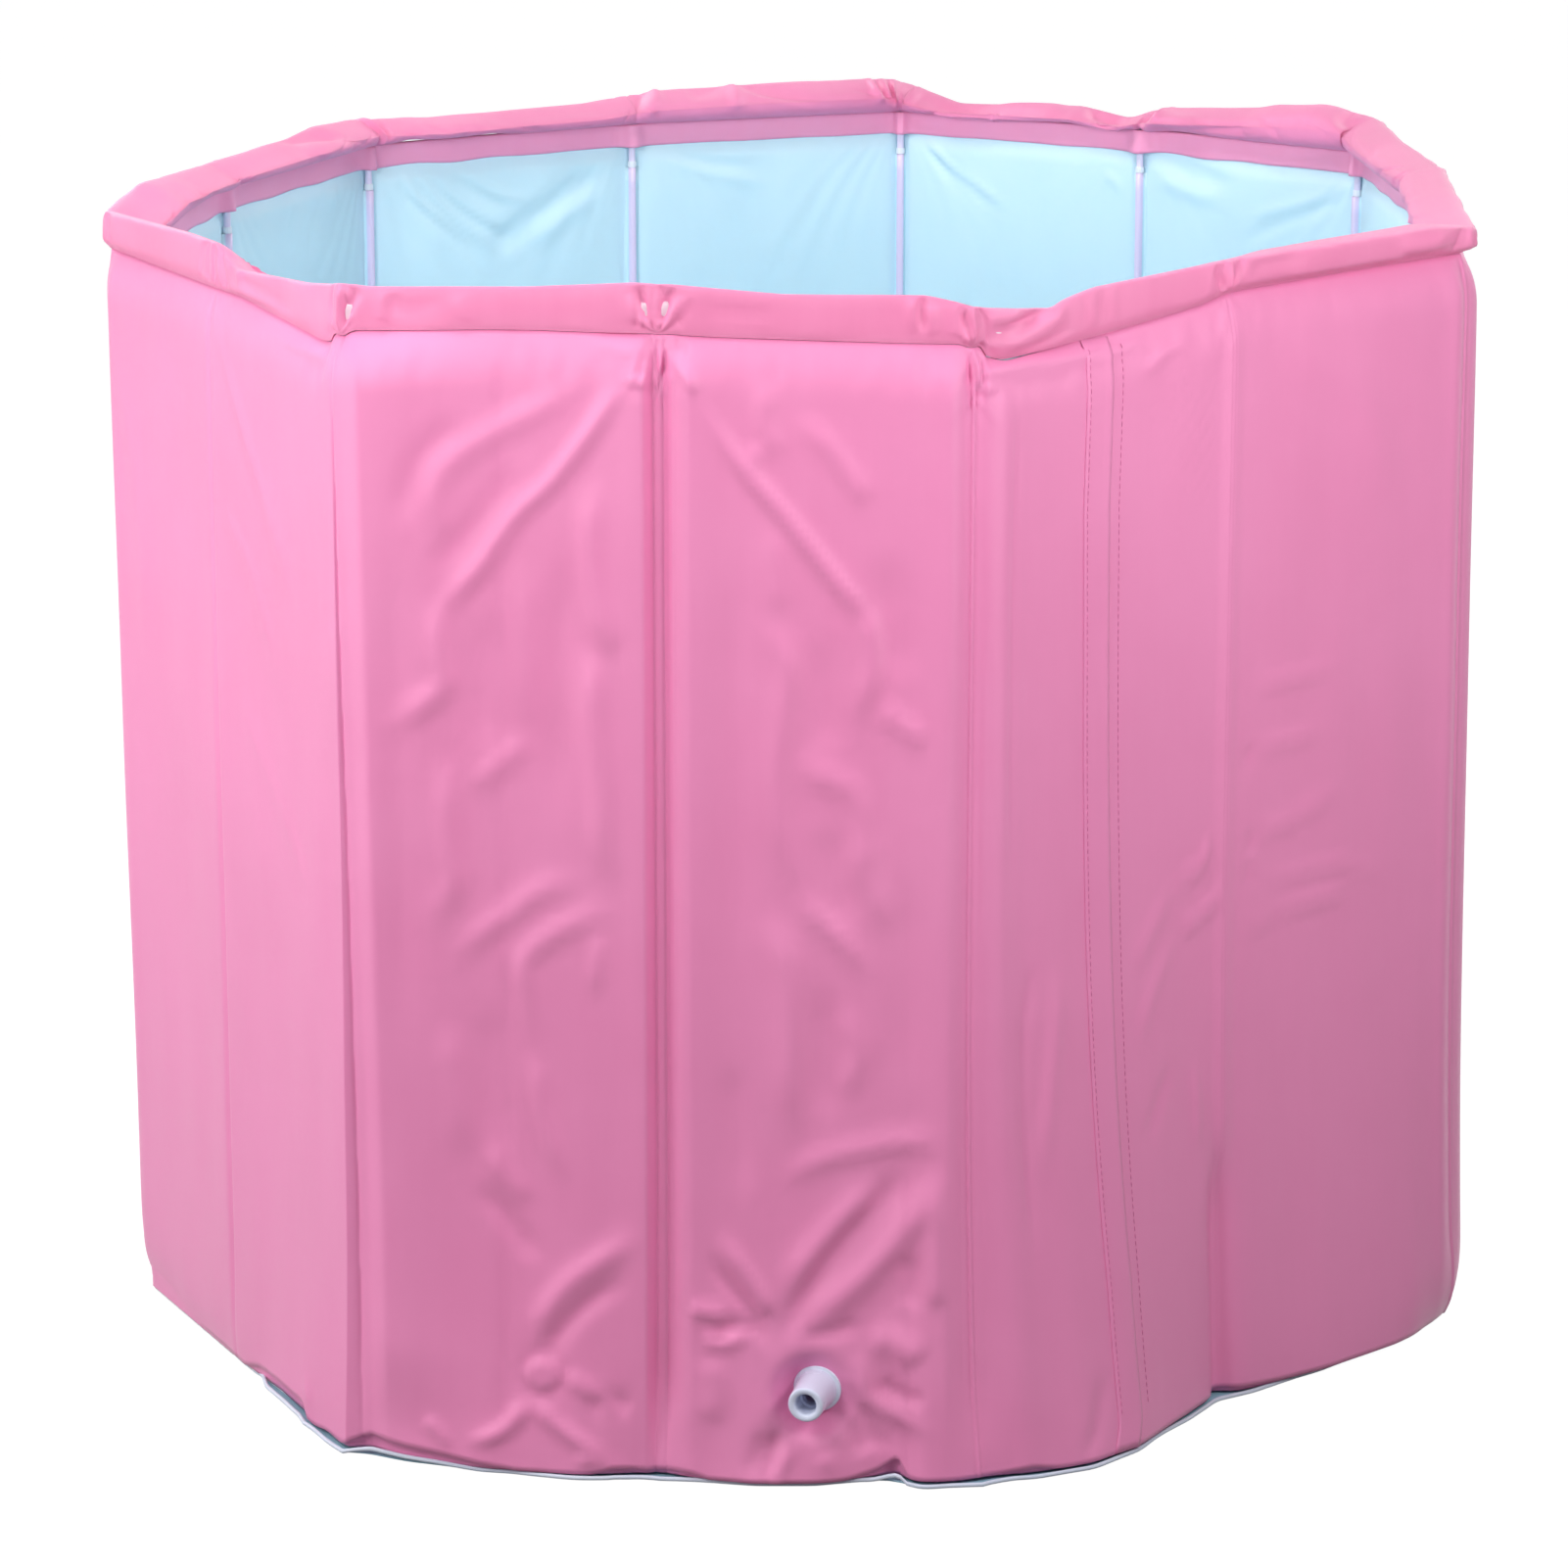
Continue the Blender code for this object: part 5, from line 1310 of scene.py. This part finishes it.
# %% Base sheet and piping
PIPING_RADIUS = 1.2 * MM
PIPING_COUNTS = [56] * PANELS
PIPING_CROWDING = 0.4
PIPING_SIDES = 12
PIPING_GIRTH = 0.0075
APRON_REACH = 2.0 * MM
APRON_KNOTS_MM = (
    *((0, 0.0, 3.5), (0, 0.8, 3.5), (1, 0.2, 3.5), (1, 0.32, 0.3)),
    *((1, 0.95, 0.0), (2, 0.1, 0.6), (2, 0.3, 2.2)),
    *((2, 0.55, 3.0), (2, 0.7, 0.8), (2, 0.95, 0.5), (3, 0.1, 2.5)),
    *((3, 0.3, 3.5), (3, 0.65, 3.0), (3, 0.75, 0.0)),
    *((4, 0.1, 0.4), (4, 0.45, 1.6), (4, 0.6, 2.6), (4, 0.75, 2.2)),
    *((4, 0.9, 0.6), (5, 0.1, 0.8), (5, 0.3, 2.4)),
    *((5, 0.6, 2.2), (5, 0.75, 0.8), (5, 0.95, 1.0), (6, 0.5, 2.5)),
    *((8, 0.5, 1.0), (10, 0.5, 2.0), (12, 0.5, 1.0)),
)
APRON_KNOTS = knots_of(APRON_KNOTS_MM)
BASE_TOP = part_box("base_sheet")[1].z


def apron_at(panel, along):
    """How far the base sheet's edge lies outside the wall: just past the skin's creeping hem."""
    station = STARTS[panel] + along
    hidden = 1.6 * level_round(APRON_KNOTS, panel, along, 5 * MM)
    return bulge_at(panel, along, 0) + APRON_REACH - hidden + 0.4 * MM * waves(station, 0, 51, 9, 1.0, 0.06)


def build_piping():
    """A circle of points round each station of the apron's edge, with the cord's middle just outside it."""
    panel, along = columns(PIPING_COUNTS, PIPING_CROWDING)
    turn = np.arange(PIPING_SIDES)[:, None] / PIPING_SIDES * math.tau
    reach = apron_at(panel, along) + 0.3 * MM + PIPING_RADIUS
    lift = np.maximum(0.45 * lift_at(panel, along) - 1.5 * MM, 0) * (panel != LAP_PANEL)
    depth = -reach - PIPING_RADIUS * np.sin(turn)
    height = PIPING_RADIUS * (1 - np.cos(turn)) + lift
    points = place(panel[None], along[None], depth, height)
    threads = (np.linspace(0, PIPING_GIRTH, PIPING_SIDES + 1), np.append(STARTS[panel] + along, RING))
    return surface("hem_piping_cord", points, threads)


def build_base_sheet():
    """A thin disc whose edge follows the apron."""
    panel, along = columns(DISC_COUNTS, DISC_CROWDING)
    return disc("base_sheet_cloth", -apron_at(panel, along), 0.0, BASE_TOP, no_relief, 0.4 * MM)


# %% [markdown]
# The lap that closes the skin is a strip of the same cloth with two rows of stitches. Thread is
# too fine for a texture to hold its light, so every stitch is a small mesh of its own, and all
# the stitches of a row are one object.

# %% Closing lap
LAP_LOW, LAP_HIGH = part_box("closing_lap")
LAP_MIDDLE = along_panel(np.array((LAP_LOW + LAP_HIGH) / 2), LAP_PANEL)
LAP_EDGES = (-14.6 * MM, 4.0 * MM)
LAP_WIDTH = LAP_EDGES[1] - LAP_EDGES[0]
LAP_ROWS = 140
LAP_COLUMNS = 9
LAP_THICKNESS = 0.4 * MM
LOOKUP_STEPS = 240
LAP_SHIFT_PIXELS = ((1131, 352), (1125, 520), (1123, 900), (1121, 1300), (1117, 1430), (1100, 1492))


def lap_shift(height):
    """How far the lap wanders sideways at each height, read from the photograph."""
    found = on_panel(LAP_SHIFT_PIXELS, LAP_PANEL)
    order = np.argsort(found[:, 1])
    return np.interp(height, found[order, 1], found[order, 0]) - LAP_MIDDLE


def skin_depth_at(panel, along, height):
    """Depth of the skin's outer face at given heights, by looking each one up along its column."""
    share = np.linspace(0, 1, LOOKUP_STEPS)[:, None]
    depth, level = outer_face(np.full((1, len(along)), panel), along[None], share)
    return np.array([np.interp(z, level[:, i], depth[:, i]) for i, z in enumerate(height)])


def lap_top():
    """The lap ends just under the rim's seam."""
    return float(seam_at(np.array([LAP_PANEL]), np.array([LAP_MIDDLE]))[0]) - 1.5 * MM


def build_lap():
    """A thin strip on the skin, its section slightly crowned, with a raised free edge."""
    low, high = HEM_HEIGHT + 1.2 * MM, lap_top()
    height = np.linspace(low, high, LAP_ROWS)
    across = np.linspace(0, 1, LAP_COLUMNS)
    outer = []
    for share in across:
        along = LAP_MIDDLE + lap_shift(height) + LAP_EDGES[0] + share * LAP_WIDTH
        lift = 0.42 * MM + 0.3 * MM * share + 0.25 * MM * (share > 0.85)
        outer.append(np.stack([along, skin_depth_at(LAP_PANEL, along, height) - lift, height], axis=-1))
    outer = np.stack(outer, axis=1)
    inner = outer[:, ::-1] + np.array([0, LAP_THICKNESS, 0])
    ring = np.concatenate([outer, inner], axis=1)
    points = place(LAP_PANEL, ring[..., 0], ring[..., 1], ring[..., 2])
    threads = (height, np.linspace(0, 2 * LAP_WIDTH, ring.shape[1] + 1))
    return surface("closing_lap_strip", points, threads, closed=False, capped=True)


# %% Stitches
STITCH_PITCH = 4.2 * MM
STITCH_LENGTH = 3.0 * MM
STITCH_RADIUS = 0.26 * MM
STITCH_SIDES = 6
STITCH_FOOT = 0.02
STITCH_LINE_POINTS = 160


def build_stitches(name, line, sunk):
    """A short spindle for each stitch: rings of points whose radius swells and fades along it."""
    step = np.linalg.norm(np.diff(line, axis=0), axis=1)
    travel = np.concatenate([[0], np.cumsum(step)])
    starts = np.arange(STITCH_PITCH, travel[-1] - STITCH_PITCH, STITCH_PITCH)
    swell = np.array([0.35, 0.9, 1.0, 0.9, 0.35])
    where = starts[:, None] + np.linspace(0, STITCH_LENGTH, len(swell))
    middle = np.stack([np.interp(where, travel, line[:, k]) for k in range(3)], axis=-1)
    outward = np.append(-INWARD[LAP_PANEL], 0.0)
    side = np.append(ALONG[LAP_PANEL], 0.0)
    turn = np.arange(STITCH_SIDES) / STITCH_SIDES * math.tau
    spoke = np.cos(turn)[:, None] * side + np.sin(turn)[:, None] * outward
    rings = middle[:, :, None] + outward * sunk + spoke * (STITCH_RADIUS * swell)[None, :, None, None]
    count = len(starts)
    per = len(swell) * STITCH_SIDES
    ring, face = np.meshgrid(np.arange(len(swell) - 1), np.arange(STITCH_SIDES), indexing="ij")
    after = (face + 1) % STITCH_SIDES
    quad = np.stack([ring * STITCH_SIDES + face, (ring + 1) * STITCH_SIDES + face,
                     (ring + 1) * STITCH_SIDES + after, ring * STITCH_SIDES + after], axis=-1).reshape(-1, 4)
    quads = (quad[None] + per * np.arange(count)[:, None, None]).reshape(-1)
    first = np.arange(STITCH_SIDES)
    caps = np.concatenate([first, first[::-1] + per - STITCH_SIDES])
    caps = (caps[None] + per * np.arange(count)[:, None]).reshape(-1)
    cap_starts = len(quads) + np.arange(0, len(caps), STITCH_SIDES)
    starts_of = np.concatenate([np.arange(0, len(quads), 4), cap_starts])
    loops = np.concatenate([quads, caps])
    return mesh_object(name, rings.reshape(-1, 3), loops, starts_of, np.zeros((len(loops), 2)))


def stitch_line(offset):
    """Points up the skin at a fixed distance beside the lap's middle."""
    height = np.linspace(STITCH_FOOT, lap_top() - 2 * MM, STITCH_LINE_POINTS)
    along = LAP_MIDDLE + lap_shift(height) + offset
    return place(LAP_PANEL, along, skin_depth_at(LAP_PANEL, along, height), height)


# %% [markdown]
# The drain spout is turned plastic, so its surface is a profile spun round the drain's axis. The
# packed one has few sides; this one has three times as many, the raised ring on its flange and the
# shoulder inside its bore.

# %% Turned pieces
TURNED_STEPS = 72
TURNED_GIRTH = 0.08
SHARP_ANGLE = math.radians(50)
DRAIN_AXIS = np.append(CORNERS[DRAIN_PANEL] + ALONG[DRAIN_PANEL] * DRAIN_ALONG, DRAIN_MIDDLE[2])
SPOUT_PROFILE_MM = (
    # radius, distance out of the wall's face
    *((5.9, 29.3), (6.4, 29.9), (7.6, 30.4), (8.8, 30.4), (9.5, 29.9), (9.7, 29.0), (10.0, 20.0)),
    *((10.7, 8.4), (10.9, 7.4), (11.1, 6.9), (11.2, 6.0), (11.25, 5.1), (11.6, 4.75), (11.9, 4.7)),
    *((12.6, 4.6), (13.1, 4.2), (13.3, 3.5), (13.3, 2.1), (12.9, 1.65), (8.2, 1.6), (8.2, -16.2)),
    *((7.9, -16.5), (6.2, -16.5), (5.9, -16.2), (5.9, 12.0), (4.9, 12.6), (4.9, 17.0), (5.9, 17.8)),
)


def turned(name, axis, outward, profile, swing):
    """A closed profile spun about a level axis; what lies outside the wall is swung round to one side."""
    outward = np.append(outward, 0.0)
    side = np.array([-outward[1], outward[0], 0.0])
    turn = np.arange(TURNED_STEPS) / TURNED_STEPS * math.tau
    spoke = np.cos(turn)[:, None] * side + np.sin(turn)[:, None] * np.array([0.0, 0.0, 1.0])
    profile = np.asarray(profile) * MM
    points = spoke[None] * profile[:, 0, None, None] + outward * profile[:, 1, None, None]
    outside = profile[:, 1] > MM
    cosine, sine = math.cos(swing), math.sin(swing)
    swung = np.array([[cosine, sine, 0], [-sine, cosine, 0], [0, 0, 1]])
    points[outside] = (points[outside] - outward * SPOUT_SEAT) @ swung.T + outward * SPOUT_SEAT
    points = points + axis
    length = np.concatenate([[0], np.cumsum(np.linalg.norm(np.diff(profile, axis=0), axis=1))])
    threads = (np.append(length, length[-1]), np.linspace(0, TURNED_GIRTH, TURNED_STEPS + 1))
    piece = surface(name, points[::-1], threads)
    piece.data.set_sharp_from_angle(angle=SHARP_ANGLE)
    return piece


# %% [markdown]
# A finish needs more than one flat colour. Each shader mixes two close tones by a slow noise,
# roughens the gloss by another and adds a weave as bump. The patterns read the thread map or
# Object coordinates, so they stay on the piece when it moves.

# %% Shader helpers
def linear(colour):
    """Screen colour from 0 to 255 as the linear values that a shader takes."""
    share = np.asarray(colour, float) / 255
    return (*np.where(share <= 0.04045, share / 12.92, ((share + 0.055) / 1.055) ** 2.4), 1.0)


class Finish:
    """A material and the few nodes that this lesson uses."""

    def __init__(self, name, roughness, specular=0.5, sheen=0.0):
        self.material = bpy.data.materials.new(name)
        self.material.use_nodes = True
        self.tree = self.material.node_tree
        self.shader = self.tree.nodes["Principled BSDF"]
        self.shader.inputs["Roughness"].default_value = roughness
        self.shader.inputs["Specular IOR Level"].default_value = specular
        self.shader.inputs["Sheen Weight"].default_value = sheen
        self.shader.inputs["Sheen Roughness"].default_value = 0.4
        coordinates = self.tree.nodes.new("ShaderNodeTexCoord")
        self.place = coordinates.outputs["Object"]
        uv = self.tree.nodes.new("ShaderNodeUVMap")
        uv.uv_map = "thread"
        self.thread = uv.outputs["UV"]

    def link(self, output, target):
        self.tree.links.new(output, target)

    def stretched(self, source, scale):
        """The coordinates multiplied along each axis."""
        node = self.tree.nodes.new("ShaderNodeMapping")
        node.inputs["Scale"].default_value = scale
        self.link(source, node.inputs["Vector"])
        return node.outputs["Vector"]

    def noise(self, source, scale, detail=3.0):
        node = self.tree.nodes.new("ShaderNodeTexNoise")
        node.inputs["Scale"].default_value = scale
        node.inputs["Detail"].default_value = detail
        self.link(source, node.inputs["Vector"])
        return node.outputs["Fac"]

    def ranged(self, source, low, high, new_low, new_high):
        node = self.tree.nodes.new("ShaderNodeMapRange")
        sockets = ("From Min", "From Max", "To Min", "To Max")
        for socket, value in zip(sockets, (low, high, new_low, new_high)):
            node.inputs[socket].default_value = value
        self.link(source, node.inputs["Value"])
        return node.outputs["Result"]

    def math(self, operation, first, second=0.0):
        node = self.tree.nodes.new("ShaderNodeMath")
        node.operation = operation
        for socket, value in zip(node.inputs, (first, second)):
            if isinstance(value, (int, float)):
                socket.default_value = value
            else:
                self.link(value, socket)
        return node.outputs["Value"]

    def mixed(self, factor, first, second):
        """Two colours mixed by a factor."""
        node = self.tree.nodes.new("ShaderNodeMix")
        node.data_type = "RGBA"
        self.link(factor, node.inputs["Factor"])
        for socket, value in ((node.inputs["A"], first), (node.inputs["B"], second)):
            if isinstance(value, tuple):
                socket.default_value = value
            else:
                self.link(value, socket)
        return node.outputs["Result"]

    def axis(self, source, name):
        node = self.tree.nodes.new("ShaderNodeSeparateXYZ")
        self.link(source, node.inputs[0])
        return node.outputs[name]

    def bump(self, heights):
        """Several heights in metres, one bump node after another."""
        normal = None
        for height, distance in heights:
            node = self.tree.nodes.new("ShaderNodeBump")
            node.inputs["Strength"].default_value = 1.0
            node.inputs["Distance"].default_value = distance
            self.link(height, node.inputs["Height"])
            if normal is not None:
                self.link(normal, node.inputs["Normal"])
            normal = node.outputs["Normal"]
        self.link(normal, self.shader.inputs["Normal"])

    def colour(self, output):
        self.link(output, self.shader.inputs["Base Color"])

    def roughness(self, output):
        self.link(output, self.shader.inputs["Roughness"])


# %% Coated cloth: a satin film over a fine plain weave
def coated_cloth(name, base, pale, gloss, weave, thread=0.55 * MM):
    """Two tones by slow noise; upright streaks; a weave of sines along and across the thread."""
    finish = Finish(name, gloss, specular=0.45, sheen=0.08)
    slow = finish.noise(finish.place, 9.0)
    streaks = finish.noise(finish.stretched(finish.thread, (130.0, 16.0, 1.0)), 1.0, 3.0)
    both = finish.math("ADD", finish.math("MULTIPLY", slow, 0.86), finish.math("MULTIPLY", streaks, 0.14))
    finish.colour(finish.mixed(finish.ranged(both, 0.32, 0.68, 0.0, 1.0), linear(base), linear(pale)))
    finish.roughness(finish.ranged(slow, 0.3, 0.7, gloss - 0.05, gloss + 0.07))
    crinkle = finish.noise(finish.place, 150.0, 4.0)
    turns = math.tau / thread
    warp = finish.math("SINE", finish.math("MULTIPLY", finish.axis(finish.thread, "X"), turns))
    weft = finish.math("SINE", finish.math("MULTIPLY", finish.axis(finish.thread, "Y"), turns))
    cloth = finish.math("MULTIPLY", warp, weft)
    finish.bump([(crinkle, 0.18 * MM), (cloth, weave)])
    return finish.material


# %% Plastics, foam and rubber
def moulded(name, base, pale, gloss, grain, scale=400.0):
    """Two close tones, and a faint grain as bump."""
    finish = Finish(name, gloss)
    slow = finish.noise(finish.place, 22.0)
    finish.colour(finish.mixed(slow, linear(base), linear(pale)))
    finish.roughness(finish.ranged(slow, 0.3, 0.7, gloss - 0.05, gloss + 0.05))
    finish.bump([(finish.noise(finish.place, scale), grain)])
    return finish.material


POLE_RING_HEIGHT = 4.0 * MM


def pole_plastic(name, rod, ring, change):
    """White rod with a lilac tint that is a painted reflection of the pink cloth, and a whiter ring just
    above the sleeve's top.
    """
    finish = Finish(name, 0.36)
    height = finish.axis(finish.place, "Z")
    past = finish.math("GREATER_THAN", height, change)
    above = finish.math("MULTIPLY", past, finish.math("LESS_THAN", height, change + POLE_RING_HEIGHT))
    slow = finish.noise(finish.place, 30.0)
    body = finish.mixed(slow, linear(rod), linear(tuple(min(255, v + 8) for v in rod)))
    finish.colour(finish.mixed(above, body, linear(ring)))
    finish.bump([(finish.noise(finish.place, 500.0), 0.05 * MM)])
    return finish.material


def sleeve_film(name, flat, arch):
    """The flat sides take the liner's colour through the film. The arch over the pole is lilac: the white
    pole under it, with a painted reflection of the pink cloth.
    """
    finish = Finish(name, 0.30)
    middle = finish.math("ABSOLUTE", finish.math("SUBTRACT", finish.axis(finish.thread, "X"), FILM_MIDDLE))
    over = finish.ranged(middle, 0.38 * FILM_MIDDLE, 0.52 * FILM_MIDDLE, 1.0, 0.0)
    finish.colour(finish.mixed(over, linear(flat), linear(arch)))
    finish.bump([(finish.noise(finish.place, 160.0), 0.15 * MM)])
    return finish.material


# %% The finishes of this tub
PINK_CLOTH = coated_cloth("pink_coated_cloth", (240, 139, 188), (244, 146, 194), 0.40, 0.03 * MM)
RIM_CLOTH = coated_cloth("pink_rim_cloth", (238, 132, 178), (246, 146, 190), 0.42, 0.04 * MM)
# The band is the skin's own pink cloth. Its lighter tone is painted light that makes up for the shade under
# the rim.
BAND_CLOTH_PAINTED_LIGHTER = coated_cloth("pink_band_cloth_painted_lighter", (255, 158, 200), (255, 170, 208), 0.42, 0.04 * MM)
LINER_CLOTH = coated_cloth("blue_liner_cloth", (208, 241, 254), (214, 245, 255), 0.42, 0.02 * MM)
BASE_CLOTH = coated_cloth("blue_base_cloth", (146, 192, 212), (160, 204, 222), 0.45, 0.03 * MM)
PIPING_CLOTH = coated_cloth("pale_piping_cloth", (206, 216, 236), (226, 232, 246), 0.55, 0.05 * MM)
# The arch's lilac is the white pole under the film, with a painted reflection of the pink cloth.
SLEEVE_FILM = sleeve_film("sleeve_film", (210, 242, 254), (236, 220, 250))
THREAD = moulded("pink_thread", (208, 108, 156), (218, 120, 168), 0.6, 0.1 * MM)
AIR_FILM = moulded("air_tube_film", (240, 208, 224), (246, 220, 232), 0.28, 0.05 * MM)
WHITE_FOAM = moulded("white_foam", (232, 232, 236), (244, 244, 246), 0.85, 0.5 * MM, 700.0)
SPOUT_PLASTIC = moulded("spout_plastic", (212, 218, 240), (226, 230, 248), 0.30, 0.04 * MM)
VALVE_PLASTIC = moulded("valve_plastic", (236, 226, 236), (246, 240, 246), 0.28, 0.03 * MM)
RUBBER = moulded("grey_rubber", (112, 122, 138), (128, 138, 152), 0.62, 0.10 * MM)
# The rod's lilac is a painted reflection of the pink cloth on white plastic. The ring keeps its own whiter
# colour.
POLE_FINISH_WITH_PINK_REFLECTION = pole_plastic("pole_plastic", (234, 224, 250), (240, 244, 253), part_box("pole_sleeve_04")[1].z)
print(len(bpy.data.materials), "materials")

# %% [markdown]
# Now the pieces are made and settled.

# %% Outer skin and rim
skin = settle(build_skin(), PINK_CLOTH, "skin_fabric", "outer_skin")
rim = settle(build_rim("rim_cover_cloth", RIM_COUNTS, RIM_STEPS), RIM_CLOTH, "skin_fabric", "rim_cover")
bladder = build_bladder("rim_air_bladder", BLADDER_COUNTS, BLADDER_STEPS, BLADDER_SHARE)
settle(bladder, AIR_FILM, "air_tube_film", "rim_air_tube")

# %% Inside pieces
band = settle(build_band(), BAND_CLOTH_PAINTED_LIGHTER, "band_fabric", "inner_band")
liner = settle(build_liner(), LINER_CLOTH, "liner_fabric", "liner_wall")
LINER_INSET = 10.9 * MM
FLOOR_LOW, FLOOR_HIGH = (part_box("liner_floor")[k].z for k in (0, 1))
PAD_LOW, PAD_HIGH = (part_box("base_pad")[k].z for k in (0, 1))
floor = settle(disc("liner_floor_cloth", LINER_INSET, FLOOR_LOW, FLOOR_HIGH, floor_relief, 0.4 * MM),
               LINER_CLOTH, "liner_fabric", "liner_floor")
pad = settle(disc("base_pad_foam", LINER_BACK_DEPTH, PAD_LOW, PAD_HIGH, no_relief, 3 * MM),
             WHITE_FOAM, "foam", "base_pad")
for number in range(PANELS):
    settle(build_sleeve(number), SLEEVE_FILM, "sleeve_film", f"pole_sleeve_{number + 1:02d}")

# %% Base, hem and lap
base = settle(build_base_sheet(), BASE_CLOTH, "base_fabric", "base_sheet")
piping = settle(build_piping(), PIPING_CLOTH, "piping_fabric", "hem_piping")
lap = settle(build_lap(), PINK_CLOTH, "skin_fabric", "closing_lap")
STITCH_ROWS = ((-12.0 * MM, 0.55 * MM), (11.4 * MM, 0.1 * MM))
for index, (offset, outward) in enumerate(STITCH_ROWS):
    row = build_stitches(f"lap_stitches_{index + 1}", stitch_line(offset), outward)
    settle(row, THREAD, "skin_fabric")

# %% Spout
spout = turned("drain_spout_turned", DRAIN_AXIS, -INWARD[DRAIN_PANEL], SPOUT_PROFILE_MM, SPOUT_SWING)
settle(spout, SPOUT_PLASTIC, "spout_plastic", "drain_spout")

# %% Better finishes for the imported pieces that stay
KEPT = {"pole_": POLE_FINISH_WITH_PINK_REFLECTION, "foam_board": WHITE_FOAM}
KEPT |= {"drain_lock_nut": SPOUT_PLASTIC, "wall_stud": SPOUT_PLASTIC}
KEPT |= {"drain_gasket": RUBBER, "drain_stopper": RUBBER, "valve_": VALVE_PLASTIC}
for name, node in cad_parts.items():
    for start, finish in KEPT.items():
        if name.startswith(start) and not node.hide_render:
            node.data.materials.clear()
            node.data.materials.append(finish)
print(sum(not node.hide_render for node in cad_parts.values()), "packed pieces stay")

# %% [markdown]
# The stage is a pale floor that keeps a soft shadow and turns white for the camera. One large lamp
# at the left, a little above the rim, gives the cloth its satin lights. Smaller ones open up the
# shadows, and two behind the tub light its back.

# %% Floor, background and lamps
FLOOR_SIZE = 14.0
FLOOR_DROP = 0.5 * MM
FLOOR_GREY = 0.16
FLOOR_GLOW = 0.975
SKY_COLOUR = (0.93, 0.95, 1.0, 1)
SKY_STRENGTH = 0.17
WHITE = (1, 1, 1, 1)
LAMPS = {
    "key_lamp": ((-2.96, -1.08, 0.95), 1.0, 25.7),
    "low_left_lamp": ((-1.07, -0.19, 0.56), 0.3, 2.3),
    "front_lamp": ((-0.61, -1.05, 1.05), 0.4, 6.4),
    "far_front_lamp": ((-0.26, -1.45, 1.25), 0.6, 1.5),
    "right_lamp": ((0.66, -0.79, 0.80), 0.35, 4.6),
    "overhead_lamp": ((-0.25, -0.30, 1.75), 0.4, 8.2),
    "back_left_lamp": ((-1.1, 1.7, 1.5), 0.9, 16.0),
    "back_right_lamp": ((1.3, 1.4, 1.5), 0.9, 16.0),
}
AIM = np.array([0.0, 0.0, 0.35])


def seen_directly(material):
    """Clears the nodes, and gives 1 for camera, glossy and transmission rays and 0 for all others."""
    tree = material.node_tree
    tree.nodes.clear()
    path = tree.nodes.new("ShaderNodeLightPath")
    seen = tree.nodes.new("ShaderNodeMath")
    seen.operation = "MAXIMUM"
    also = tree.nodes.new("ShaderNodeMath")
    also.operation = "MAXIMUM"
    tree.links.new(path.outputs["Is Camera Ray"], seen.inputs[0])
    tree.links.new(path.outputs["Is Glossy Ray"], seen.inputs[1])
    tree.links.new(seen.outputs[0], also.inputs[0])
    tree.links.new(path.outputs["Is Transmission Ray"], also.inputs[1])
    return tree, also.outputs[0]


def build_floor():
    mesh = bpy.data.meshes.new("studio_floor")
    half = FLOOR_SIZE / 2
    square = [(-half, -half, 0), (half, -half, 0), (half, half, 0), (-half, half, 0)]
    mesh.from_pydata(square, [], [(0, 1, 2, 3)])
    floor_object = bpy.data.objects.new("studio_floor", mesh)
    floor_object.location.z = -FLOOR_DROP
    bpy.context.scene.collection.objects.link(floor_object)
    material = bpy.data.materials.new("studio_floor")
    material.use_nodes = True
    tree, seen = seen_directly(material)
    paint = tree.nodes.new("ShaderNodeBsdfDiffuse")
    paint.inputs["Color"].default_value = (FLOOR_GREY, FLOOR_GREY, FLOOR_GREY, 1)
    glow = tree.nodes.new("ShaderNodeEmission")
    glow.inputs["Color"].default_value = WHITE
    brighter = tree.nodes.new("ShaderNodeMath")
    brighter.operation = "MULTIPLY"
    brighter.inputs[1].default_value = FLOOR_GLOW
    tree.links.new(seen, brighter.inputs[0])
    tree.links.new(brighter.outputs[0], glow.inputs["Strength"])
    both = tree.nodes.new("ShaderNodeAddShader")
    output = tree.nodes.new("ShaderNodeOutputMaterial")
    tree.links.new(paint.outputs[0], both.inputs[0])
    tree.links.new(glow.outputs[0], both.inputs[1])
    tree.links.new(both.outputs[0], output.inputs["Surface"])
    mesh.materials.append(material)


def build_world():
    world = bpy.data.worlds.new("studio")
    bpy.context.scene.world = world
    world.use_nodes = True
    tree, seen = seen_directly(world)
    light = tree.nodes.new("ShaderNodeBackground")
    light.inputs["Color"].default_value = SKY_COLOUR
    light.inputs["Strength"].default_value = SKY_STRENGTH
    white = tree.nodes.new("ShaderNodeBackground")
    white.inputs["Color"].default_value = WHITE
    mix = tree.nodes.new("ShaderNodeMixShader")
    output = tree.nodes.new("ShaderNodeOutputWorld")
    tree.links.new(seen, mix.inputs[0])
    tree.links.new(light.outputs[0], mix.inputs[1])
    tree.links.new(white.outputs[0], mix.inputs[2])
    tree.links.new(mix.outputs[0], output.inputs["Surface"])


def build_lamp(name, spot, size, power):
    """A square area lamp turned to face the tub."""
    data = bpy.data.lights.new(name, "AREA")
    data.size = size
    data.energy = power
    lamp = bpy.data.objects.new(name, data)
    lamp.location = spot
    direction = Vector(AIM - np.array(spot))
    lamp.rotation_euler = direction.to_track_quat("-Z", "Y").to_euler()
    lamp.visible_camera = False
    bpy.context.scene.collection.objects.link(lamp)


build_floor()
build_world()
for name, lamp in LAMPS.items():
    build_lamp(name, *lamp)
bpy.context.scene.view_settings.view_transform = "Standard"
